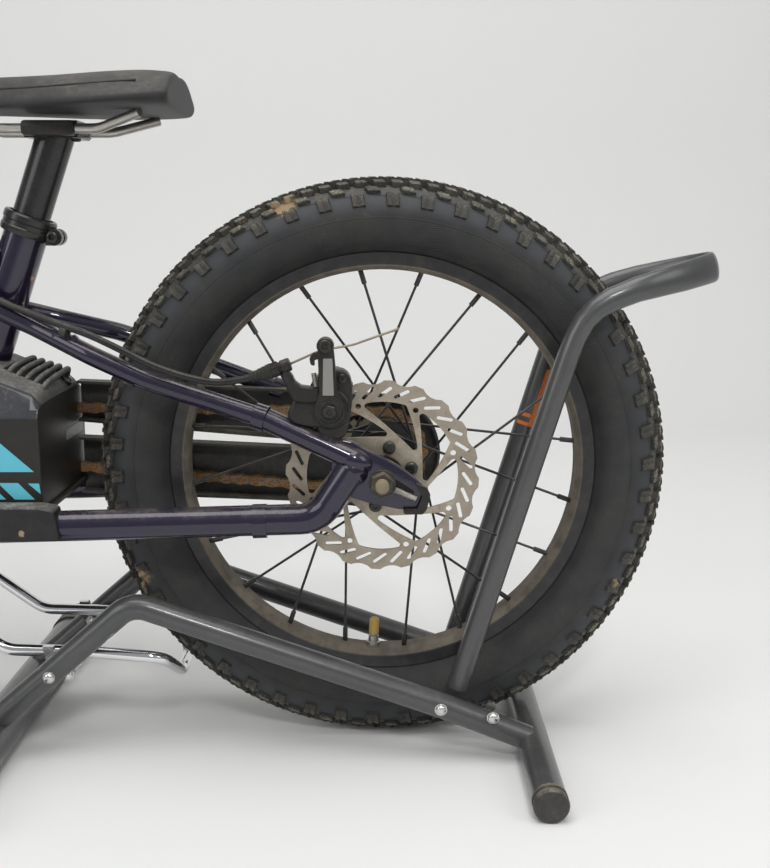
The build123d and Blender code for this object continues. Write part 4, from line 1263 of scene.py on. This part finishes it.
def makeHousing():
    given = housingShape
    bm = bmesh.new()
    sections = []
    for x, panel, facet, shoulder, top in given["stations"]:
        right = [(given["half"], given["low"]), (given["half"], panel), (given["facet"], facet),
                 (given["shoulder"], shoulder), (given["shoulder"] * 0.5, top - (top - shoulder) * 0.25)]
        sections.append(acrossBike(x, right, top))
    loft(bm, sections)
    bmesh.ops.recalc_face_normals(bm, faces=bm.faces)
    rims = [e for e in bm.edges if len(e.link_faces) == 2 and e.calc_face_angle() > math.radians(16)]
    roundEdges(bm, rims, given["edge"], 3)
    # faces of the shoulder and its facet get the lighter bluish copy: painted sheen
    for face in bm.faces:
        middle = face.calc_center_median()
        onShoulder = middle.z > given["paintedSheenAbove"] and abs(middle.y) > given["paintedSheenFrom"]
        face.material_index = 1 if onShoulder and abs(face.normal.x) < 0.5 else 0
    slab(bm, given["footRim"], -given["half"], given["half"], edge=0.8)
    finishPiece("driveHousing", bm, ["housingPlastic", "housingPaintedSheen"], "frame",
                replaced=["motor_housing"], sharp=given["sharp"])


def makeStripes():
    # a thin film on the housing's sides
    given = stripeShape
    bm = bmesh.new()
    outlines = [given["band"], given["tip"]]
    for number in range(given["count"]):
        right = given["firstRight"] - given["step"] * number
        left, slant = right - given["width"], given["slant"]
        outlines.append([(left, given["up"]), (right, given["up"]), (right + slant, given["low"]),
                         (left + slant, given["low"])])
    side = -housingShape["half"]
    for outline in outlines:
        slab(bm, outline, side - given["above"], side + given["within"], corner=0.3, cornerSegments=2)
    mirrorAcross(bm)
    finishPiece("sideStripes", bm, ["stripeBlue"], "frame")


def makePatch():
    given = patchShape
    bm = bmesh.new()
    patch = bmesh.ops.create_cube(bm, size=1)["verts"]
    bmesh.ops.scale(bm, vec=given["size"], verts=patch)
    bmesh.ops.translate(bm, verts=patch, vec=given["middle"])
    roundEdges(bm, [e for e in bm.edges if abs(e.verts[0].co.x - e.verts[1].co.x) > 0.1], given["corner"], 3)
    finishPiece("blankPatch", bm, ["greyLabel"], "frame")


makeHousing()
makeStripes()
makePatch()

lidShape = dict(
    stations=[
        # x, height at its side edge, height in the middle
        (-243.4, 53.6, 55.4), (-246.0, 57.6, 60.0), (-250.0, 61.6, 65.0), (-290.0, 77.2, 82.6),
        (-330.0, 82.8, 88.6), (-418.0, 63.5, 68.6),
    ],
    half=50.0, lip=3.0,
    arches=5, first=(-247.8, 0, 62.4), step=(-6.2, 0, 2.75), lean=(0.40, 0, 0.92), archHalf=28.0,
    archRise=4.4, archRadius=2.2, archNear=-3.4, archReach=3.0, archClimb=3.6, climbStep=-0.7,
    # dark pipes between the arches: painted shade standing in for the gaps between them
    slotRadius=2.0, slotEnds=(3, 5), slotUp=(0.0, 2.2, 2.0),
    # screw in a round well at the rear edge
    screwAt=(-246.5, 25.5, 61.7), screwOut=(0.70, 0.0, 0.72),
    well=[(-3, 4.4), (-3, 6.2), (1.0, 5.8), (1.0, 4.7)],
)


def makeLid():
    given = lidShape
    bm = bmesh.new()
    sections = []
    for x, side, top in given["stations"]:
        half, rise = given["half"], top - side
        right = [(half, side - given["lip"]), (half, side - 0.8), (half - 0.8, side),
                 (half * 0.82, side + rise * 0.42), (half * 0.5, top - rise * 0.2)]
        sections.append(acrossBike(x, right, top))
    loft(bm, sections)
    half, rise, near = given["archHalf"], given["archRise"], given["archNear"]
    first, step, lean = (Vector(given[name]) for name in ("first", "step", "lean"))
    for number in range(given["arches"]):
        climb, far = given["archClimb"] + given["climbStep"] * number, half + given["archReach"]
        outline = [(-half, near - 0.6), (-half + 1.0, near + rise * 0.5),
                   (-half + 6, near * 0.6 + rise * 0.95), (-half * 0.4, rise * 1.0),
                   (half * 0.4, rise * 1.1 + climb * 0.4), (far - 6, rise + climb),
                   (far - 1.0, rise * 0.55 + climb), (far, climb * 0.6 - 0.6)]
        foot = first + step * number
        pipe(bm, [foot + Vector((0, y, 0)) + lean * up for y, up in outline], given["archRadius"], 12)
    screw = bmesh.new()
    turned(screw, given["well"], given["screwAt"], given["screwOut"], 32, closed=True)
    boltHead(screw, given["screwAt"], given["screwOut"], 3.7, 0.8, 1.8)
    joinPart(bm, screw, 1)
    # painted shade: near-black pipes laid between the arches
    start, end = given["slotEnds"]
    slot = list(zip((-half + start, 0, half - end), given["slotUp"]))
    for number in range(given["arches"]):
        foot = first + step * (number + 0.5)
        pipe(bm, [foot + Vector((0, y, 0)) + lean * up for y, up in slot], given["slotRadius"], 8,
             slotIndex=2)
    finishPiece("ventedLid", bm, ["dustyPlastic", "castBlack", "shadeBlack"], "frame",
                replaced=["housing_cover"])


makeLid()

footrestShape = dict(
    outline=[(-430, -42), (-226.5, -40), (-230.0, -17.5), (-241.5, -15.4), (-430, -15.2)], near=-79.0,
    far=-60.4,
)


def makeFootrests():
    given = footrestShape
    bm = bmesh.new()
    slab(bm, given["outline"], given["near"], given["far"], corner=2.4, edge=2.0, edgeSegments=3)
    mirrorAcross(bm)
    finishPiece("footrests", bm, ["restPlastic"], "frame",
                replaced=["footrest_left", "footrest_right"])


makeFootrests()
print("housing made")


# Cable guides on the left stay, with the tie that holds the casing

lugShape = dict(spots=[(-233.5, -36.0, 103.2), (-219.5, -38.5, 98.6)], near=4.6, far=0.6,
                outline=[(-2.6, -4.5), (-1.8, 2.8), (0.2, 3.9), (2.4, 1.6), (2.8, -5.0)])
tieShape = dict(at=(-226, -41.0, 104.8), along=(21, -5, -8.5),
                profile=[(-2.6, 2.6), (-2.6, 4.6), (-2.0, 5.1), (2.0, 5.1), (2.6, 4.6), (2.6, 2.6)])


def makeCableLugs():
    given = lugShape
    bm = bmesh.new()
    for x, y, up in given["spots"]:
        slab(bm, [(x + more, up + higher) for more, higher in given["outline"]], y - given["near"],
             y + given["far"], corner=0.8, edge=0.8)
    finishPiece("cableLugs", bm, ["framePaint"], "frame")


def makeCableTie():
    given = tieShape
    bm = bmesh.new()
    turned(bm, given["profile"], given["at"], given["along"], 28, closed=True)
    finishPiece("cableTie", bm, ["blackPlastic"], "frame", replaced=["cable_clip"])


makeCableLugs()
makeCableTie()
print("cable guides made")


# Axes of the seat tube and the head tube, and the seat post's clamp

def seatAxis(up):
    return Vector((-325.9 + 0.367 * up, 0, up))


def headAxis(up):
    return Vector((-732.6 + 0.404 * up, 0, up))


seatAlong = (seatAxis(1) - seatAxis(0)).normalized()
headAlong = (headAxis(1) - headAxis(0)).normalized()


seatClampShape = dict(
    ringUp=172, earsUp=177.5, earsBack=21.5,
    ring=[(0, 16.0), (0, 18.6), (1.2, 19.4), (4.5, 19.4), (5.4, 18.7), (8.6, 18.7), (9.5, 19.4), (13.6, 19.4),
          (14.9, 18.4), (14.9, 16.0)],
    # two round-nosed ears behind, a slit apart, with the bolt through them
    ear=[(1.1, 0), (1.1, 5.6), (1.8, 6.2), (7.4, 6.2), (8.3, 5.4), (8.3, 0)],
    web=[(-6, -6.0), (0.8, -6.1), (1.5, 6.1), (-4.5, 6.2)], webFrom=1.2, webTo=8.2, boltAt=8.0,
    boltEnd=[(0, 0), (0, 4.0), (2.4, 4.0), (3.0, 3.2), (3.0, 0)],
)


def makeSeatClamp():
    given = seatClampShape
    bm, bolt = bmesh.new(), bmesh.new()
    turned(bm, given["ring"], seatAxis(given["ringUp"]), seatAlong, 64, closed=True)
    back = seatAlong.cross(Vector(toRight))
    back = back if back.x > 0 else -back
    middle = seatAxis(given["earsUp"]) + back * given["earsBack"]
    for side in (-1, 1):
        turned(bm, given["ear"], middle, (0, side, 0), 32)
        slab(bm, [(middle.x + x, middle.z + up) for x, up in given["web"]],
             *sorted((side * given["webFrom"], side * given["webTo"])), edge=0.6)
    boltHead(bolt, (middle.x, -given["boltAt"], middle.z), toLeft, 4.0, 4.2, 2.2, dome=0.12)
    turned(bolt, given["boltEnd"], (middle.x, given["boltAt"], middle.z), toRight, 24)
    joinPart(bm, bolt, 1)
    finishPiece("seatClamp", bm, ["glossBlack", "boltBlack"], "frame", replaced=["seat_clamp"])


makeSeatClamp()


# Saddle: a grid pulled into shape, padded, with two side panels and a sewn seam between them

saddleShape = dict(
    # x behind the axle, half width, height at the middle, height at the edge
    rows=[(-365, 9, 276, 268), (-350, 15.5, 281, 268), (-325, 19, 282.5, 266), (-295, 23, 283, 264.5),
          (-262, 33, 283.5, 263.5), (-228, 50, 284.5, 263), (-196, 62, 286.5, 263.5),
          (-166, 65.5, 287.5, 265.5), (-146, 57, 286, 268)],
    under=257.5, across=12, channel=2.2, skirt=3.5, rounding=2.6, lowShare=0.86, seamShare=0.80,
    seamRadius=0.75,
)


def saddleTop(row, share):
    # height of the top at a share of the half width
    x, half, top, edge = row
    return edge + (top - edge) * (1 - abs(share) ** saddleShape["rounding"])


def saddleRing(row):
    # one section across the saddle, from its left skirt over the top to its right skirt
    given = saddleShape
    x, half = row[:2]
    spots = []
    for step in range(given["across"] + 1):
        share = -1 + 2 * step / given["across"]
        dip = given["channel"] * math.exp(-(share * 5) ** 2)
        spots.append(Vector((x, half * share, saddleTop(row, share) - dip)))
    skirt = Vector((0, 0, -given["skirt"]))
    left, right = spots[0] + skirt, spots[-1] + skirt
    lowLeft, lowRight = (Vector((x, side * half * given["lowShare"], given["under"])) for side in (-1, 1))
    return [lowLeft, left] + spots + [right, lowRight]


def makeSaddle():
    given = saddleShape
    bm = bmesh.new()
    for ends in loft(bm, [saddleRing(row) for row in given["rows"]]):
        bmesh.ops.inset_region(bm, faces=ends, thickness=3.0, depth=1.5)
    bmesh.ops.triangulate(bm, faces=[face for face in bm.faces if len(face.verts) > 4])
    bmesh.ops.subdivide_edges(bm, edges=bm.edges, cuts=1, use_grid_fill=True, smooth=0.0)
    bmesh.ops.smooth_vert(bm, verts=bm.verts, factor=0.5, use_axis_x=True, use_axis_y=True, use_axis_z=True)
    saddle = finishPiece("paddedSaddle", bm, ["saddleCover"], "frame",
                         replaced=["saddle"], sharp=180)
    smooth = saddle.modifiers.new("soften", "SUBSURF")
    smooth.levels = 2
    smooth.render_levels = 2
    # sewn piping along the edge of the top panel, a little above its skirt
    bm = bmesh.new()
    share = given["seamShare"]
    for side in (-1, 1):
        route = [(row[0], side * row[1] * share, saddleTop(row, share) - 0.1) for row in given["rows"][1:-1]]
        pipe(bm, route, given["seamRadius"], 6)
    finishPiece("saddleSeam", bm, ["gripRubber"], "frame")


makeSaddle()


seatHeadShape = dict(centreUp=246, half=19, low=241, high=251.5, wide=25, corner=3, edge=1.5, boltOut=13,
                     boltUp=241.4)


def makeSeatHead():
    # clamp of the saddle's rails on the seat post, with its two bolts
    given = seatHeadShape
    bm = bmesh.new()
    x = seatAxis(given["centreUp"]).x
    back, front, low, high = x + given["half"], x - given["half"], given["low"], given["high"]
    slab(bm, [(front, low), (front, high), (back, high), (back, low)], -given["wide"], given["wide"],
         corner=given["corner"], edge=given["edge"])
    for out in (-given["boltOut"], given["boltOut"]):
        boltHead(bm, (x + out, 0, given["boltUp"]), (0, 0, -1), 4.0, 3.0, 2.2)
    finishPiece("railClamp", bm, ["castBlack"], "frame")


makeSeatHead()
print("seat made")


# Handlebar grips with their plugs, brake lever, and fittings of the stem, headset and fork

barShape = dict(bend=(-628.0, -92.0, 429.0), end=(-598.0, -265.0, 434.0), middle=(-636.0, 0.0, 371.0))
barBend, barEnd = Vector(barShape["bend"]), Vector(barShape["end"])
barAlong = (barEnd - barBend).normalized()
gripShape = dict(
    length=112.0, radius=14.6, ribs=17, ribFrom=7.0, plain=14, rise=0.85,
    # (out from the grip's start, radius) of its flange, (out from the bar's end, radius) of its end and plug
    flange=[(-2.0, 11.15), (-2.0, 19.2), (-1.0, 20.0), (2.4, 20.0), (3.4, 19.0), (3.8, 15.1)],
    tail=[(-5.5, 15.4), (2.0, 15.4), (3.6, 14.4), (4.0, 12.5), (4.0, 11.15)],
    plug=[(0.2, 0), (0.2, 10.9), (3.0, 10.9), (4.4, 10.0), (5.0, 7.5), (4.4, 6.8), (4.4, 0)],
)


def makeGrip(name, side, cadNode):
    given = gripShape
    length, radius = given["length"], given["radius"]
    profile = list(given["flange"])
    step = (length - given["plain"]) / given["ribs"]
    for number in range(given["ribs"]):
        here = given["ribFrom"] + step * number
        profile += [(here + step * share, radius + rise) for share, rise in
                    ((0, 0), (0.22, given["rise"]), (0.62, given["rise"]), (0.84, 0))]
    profile += [(length + out, size) for out, size in given["tail"]]
    bm, plug = bmesh.new(), bmesh.new()
    turned(bm, profile, barEnd - barAlong * length, barAlong, 40, closed=True)
    turned(plug, given["plug"], barEnd, barAlong, 32)
    joinPart(bm, plug, 1)
    if side > 0:
        bmesh.ops.scale(bm, vec=(1, -1, 1), verts=bm.verts)
    finishPiece(name, bm, ["gripRubber", "blackPlastic"], "steering", replaced=[cadNode])


makeGrip("leftGrip", -1, "grip_left")
makeGrip("rightGrip", 1, "grip_right")


leverShape = dict(
    fromEnd=128, body=(-24, -2, -9),
    collar=[(-7, 11.15), (-7, 14.6), (-6, 15.6), (6, 15.6), (7, 14.6), (7, 11.15)],
    # places below are from the lever's body; the outline is given its thickness from near to far
    outline=[(-12, -7), (-14, 3), (-4, 7), (12, 9), (13, -1)], near=9, far=7, corner=2, edge=1.6,
    blade=[(-5, -2, -2), (-17, -9, -5), (-20, -30, -7), (-21, -62, -8), (-23, -88, -9), (-23.5, -104, -9)],
    bladeRadius=3.9, ball=(-23.5, -106, -9), ballRadius=5.3, pivotPin=(-6, -1, 7), collarBolt=(9, 0, -14),
    barrel=[(0, 2.6), (0, 4.6), (9, 4.6), (10, 3.8), (10, 2.6)], barrelAt=(-10, 6, 0),
    barrelAlong=(-0.72, 0.66, -0.2),
)


def makeLever():
    given = leverShape
    middle = barEnd - barAlong * given["fromEnd"]
    body = middle + Vector(given["body"])
    bm, bolts = bmesh.new(), bmesh.new()
    turned(bm, given["collar"], middle, barAlong, 40, closed=True)
    slab(bm, [(body.x + x, body.z + up) for x, up in given["outline"]], body.y - given["near"],
         body.y + given["far"], corner=given["corner"], edge=given["edge"])
    pipe(bm, [body + Vector(spot) for spot in given["blade"]], given["bladeRadius"], 12)
    ball = bmesh.ops.create_uvsphere(bm, u_segments=20, v_segments=12, radius=given["ballRadius"])["verts"]
    bmesh.ops.translate(bm, verts=ball, vec=body + Vector(given["ball"]))
    boltHead(bolts, body + Vector(given["pivotPin"]), (0, 0, 1), 3.4, 1.4, 1.6)
    boltHead(bolts, middle + Vector(given["collarBolt"]), (0.4, 0, -1), 3.2, 2.0, 1.6)
    turned(bolts, given["barrel"], body + Vector(given["barrelAt"]), given["barrelAlong"], 20, closed=True)
    joinPart(bm, bolts, 1)
    finishPiece("brakeLever", bm, ["blackPaint", "boltBlack"], "steering",
                replaced=["brake_lever"])


makeLever()

stemShape = dict(
    # face plate with four bolts, and the expander bolt in a dished cap on the top
    plate=[(-18.5, -15), (-18.5, 15), (-13, 15.5), (-13, -15.5)], plateHalf=20, corner=1.5, edge=1.0,
    boltX=-18.3, boltY=14, boltUp=10.5, capUp=386,
    cap=[(0, 0), (0, 18.4), (1.4, 18.4), (2.6, 17.0), (2.6, 5.2), (1.6, 5.0), (1.6, 0)],
)
headsetShape = dict(
    # height and direction of each cup, turned smooth with a fine groove round it
    cups=[(240.5, 1), (343.5, -1)],
    profile=[(0, 21.4), (0, 22.2), (2.4, 22.8), (3.0, 22.2), (3.6, 22.8), (6.6, 22.4), (7.6, 20.6),
             (7.6, 19.4)],
)
forkShape = dict(
    # steps and seams on each leg: share of the way down, radius, length; and the cap on its top
    high=(-645, 50, 218), low=(-752, 50, 26), bore=12.1, reach=220, steps=[(0.42, 13.6, 10), (0.47, 12.8, 3)],
    cap=[(0, 0), (0, 9.0), (1.5, 10.5), (4.0, 10.5), (5.0, 9.4), (5.0, 0)], capOut=12.5,
)


def makeStemFittings():
    given = stemShape
    middle = Vector(barShape["middle"])
    bm = bmesh.new()
    slab(bm, [(middle.x + x, middle.z + up) for x, up in given["plate"]], -given["plateHalf"],
         given["plateHalf"], corner=given["corner"], edge=given["edge"])
    for y in (-given["boltY"], given["boltY"]):
        for up in (-given["boltUp"], given["boltUp"]):
            boltHead(bm, (middle.x + given["boltX"], y, middle.z + up), (-1, 0, 0), 3.6, 2.6, 1.8)
    top = headAxis(given["capUp"])
    turned(bm, given["cap"], top, headAlong, 48)
    boltHead(bm, top + headAlong * 1.6, headAlong, 4.6, 2.2, 2.4)
    finishPiece("stemFittings", bm, ["castBlack"], "steering")


def makeHeadsetRings():
    bm = bmesh.new()
    for up, sign in headsetShape["cups"]:
        turned(bm, headsetShape["profile"], headAxis(up), headAlong * sign, 56, closed=True)
    finishPiece("headsetRings", bm, ["castBlack"], "frame")


def makeForkRings():
    given = forkShape
    bore = given["bore"]
    bm = bmesh.new()
    for side in (-1, 1):
        high, low = (Vector(given[end]) * Vector((1, side, 1)) for end in ("high", "low"))
        run = (low - high).normalized()
        for share, wide, long in given["steps"]:
            profile = [(0, bore), (0, wide - 0.6), (0.8, wide), (long - 0.8, wide), (long, wide - 0.6),
                       (long, bore)]
            turned(bm, profile, high + run * share * given["reach"], run, 40, closed=True)
        turned(bm, given["cap"], high - run * given["capOut"], -run, 32)
    finishPiece("forkRings", bm, ["blackPaint"], "steering")


makeStemFittings()
makeHeadsetRings()
makeForkRings()
print("bars made")


# Stand: hoop with its flattened end and sticker, bolts with their nuts, and ribbed end caps

hoopShape = dict(
    # x, y, up along the middle of the left half; half height and half width of the tube there
    spots=[((56.5, -42.5, -164), 8, 8), ((133.0, -42.5, 88.0), 8, 8), ((137.6, -42.5, 101.0), 8, 8),
           ((143.5, -42.5, 112.0), 8, 8), ((151.5, -42.5, 120.5), 8.2, 7.9),
           ((162.0, -42.3, 127.0), 8.6, 7.6), ((180.0, -41.0, 134.0), 9.1, 7.1),
           ((198.0, -36.5, 138.6), 9.8, 6.4), ((216.0, -27.5, 142.4), 10.4, 5.4),
           ((232.0, -16.5, 146.0), 10.8, 4.4), ((242.0, -8.0, 148.2), 11.0, 3.6),
           ((244.6, -3.6, 148.8), 11.0, 3.4)],
    steps=24, lean=(0.225, 0, -0.974), sharp=50,
    # bare outline of a sticker on the far leg: low and high end, first and last angle round the leg
    legFoot=(56.5, 42.5, -164), legHead=(133.0, 42.5, 88.0), stickerOut=8.12,
    sticker=[(22.8, 68.3, 14, 46), (22.8, 25.6, -58, 14), (29.4, 32.2, -58, 14)],
)


def makeHoop():
    given = hoopShape
    half = given["spots"]
    spots = [(Vector(spot), tall, wide) for spot, tall, wide in half]
    spots += [(Vector((spot[0], -spot[1], spot[2])), tall, wide) for spot, tall, wide in reversed(half)]
    bm = bmesh.new()
    sections = []
    for index, (spot, tall, wide) in enumerate(spots):
        before = spots[max(index - 1, 0)][0]
        after = spots[min(index + 1, len(spots) - 1)][0]
        along = (after - before).normalized()
        aside = along.cross(Vector(given["lean"]))
        if abs(aside.y) < 0.4 and abs(along.y) < 0.1:
            aside = Vector((0, 1, 0))
        aside = (aside - along * aside.dot(along)).normalized()
        upright = along.cross(aside).normalized()
        if upright.z < 0:
            upright, aside = -upright, -aside
        turns = (math.tau * step / given["steps"] for step in range(given["steps"]))
        sections.append([spot + aside * wide * math.cos(turn) + upright * tall * math.sin(turn)
                         for turn in turns])
    loft(bm, sections)
    finishPiece("flattenedHoop", bm, ["standPaint"], "frame", replaced=["stand_hoop"],
                sharp=given["sharp"])


def makeSticker():
    given = hoopShape
    foot, head = Vector(given["legFoot"]), Vector(given["legHead"])
    along = (head - foot).normalized()
    bm = bmesh.new()
    for lowUp, highUp, first, last in given["sticker"]:
        low, high = (foot + along * ((up - foot.z) / along.z) for up in (lowUp, highUp))
        out = Matrix.Rotation(math.radians(first), 3, along) @ Vector((0, -given["stickerOut"], 0))
        ends = [bm.verts.new(low + out), bm.verts.new(high + out)]
        edge = bm.edges.new(ends)
        bmesh.ops.spin(bm, geom=ends + [edge], cent=low, axis=along, angle=math.radians(last - first),
                       steps=8)
    finishPiece("blankSticker", bm, ["stickerOrange"], "frame")


makeHoop()
makeSticker()

standBolts = dict(
    # x, y, up; then (out from there, radius) of the domed head and of the bolt's end, and the nut
    spots=[(-243.0, -69.2, -145.1), (-234.3, -52.0, -150.1), (42.9, -69.2, -170.0), (81.2, -69.2, -176.3)],
    head=[(-4.2, 0), (-4.2, 2.4), (0, 2.4), (0, 4.6), (0.6, 4.6), (0.6, 4.0), (1.4, 3.9), (2.5, 3.0),
          (3.1, 1.5), (3.2, 0)],
    end=[(0, 0), (0, 2.1), (5.2, 2.1), (5.6, 1.6), (5.6, 0)], endAt=18.4,
    nutAt=18.6, nut=4.4, nutHeight=3.6, nutBore=2.2,
)
capRows = [
    # place of the cap's open side, radius, length, ribs
    ((-291, -150, -196.0), 18.0, 38, 5), ((113, -140, -202), 12.4, 12, 2),
]


def makeStandBolts():
    given = standBolts
    bm = bmesh.new()
    for x, y, up in given["spots"]:
        turned(bm, given["head"], (x, y, up), toLeft, 28)
        hexNut(bm, (x, y + given["nutAt"], up), toRight, given["nut"], given["nutHeight"], given["nutBore"])
        turned(bm, given["end"], (x, y + given["endAt"], up), toRight, 16)
    mirrorAcross(bm)
    finishPiece("standBolts", bm, ["brightZinc"], "frame")


def makeStandCaps():
    bm = bmesh.new()
    for spot, radius, length, ribs in capRows:
        profile = [(0, 0), (0, radius - 0.6), (0.8, radius)]
        for number in range(ribs):
            here = length * (0.25 + 0.12 * number)
            profile += [(here, radius), (here + 0.4, radius - 0.7), (here + 1.6, radius - 0.7),
                        (here + 2.0, radius)]
        profile += [(length - 2.5, radius), (length - 0.8, radius - 1.0), (length, radius - 3.0), (length, 0)]
        turned(bm, profile, spot, toLeft, 48)
    mirrorAcross(bm)
    finishPiece("standCaps", bm, ["blackPlastic"], "frame", replaced=["stand_caps"])


makeStandBolts()
makeStandCaps()
print("stand finished")
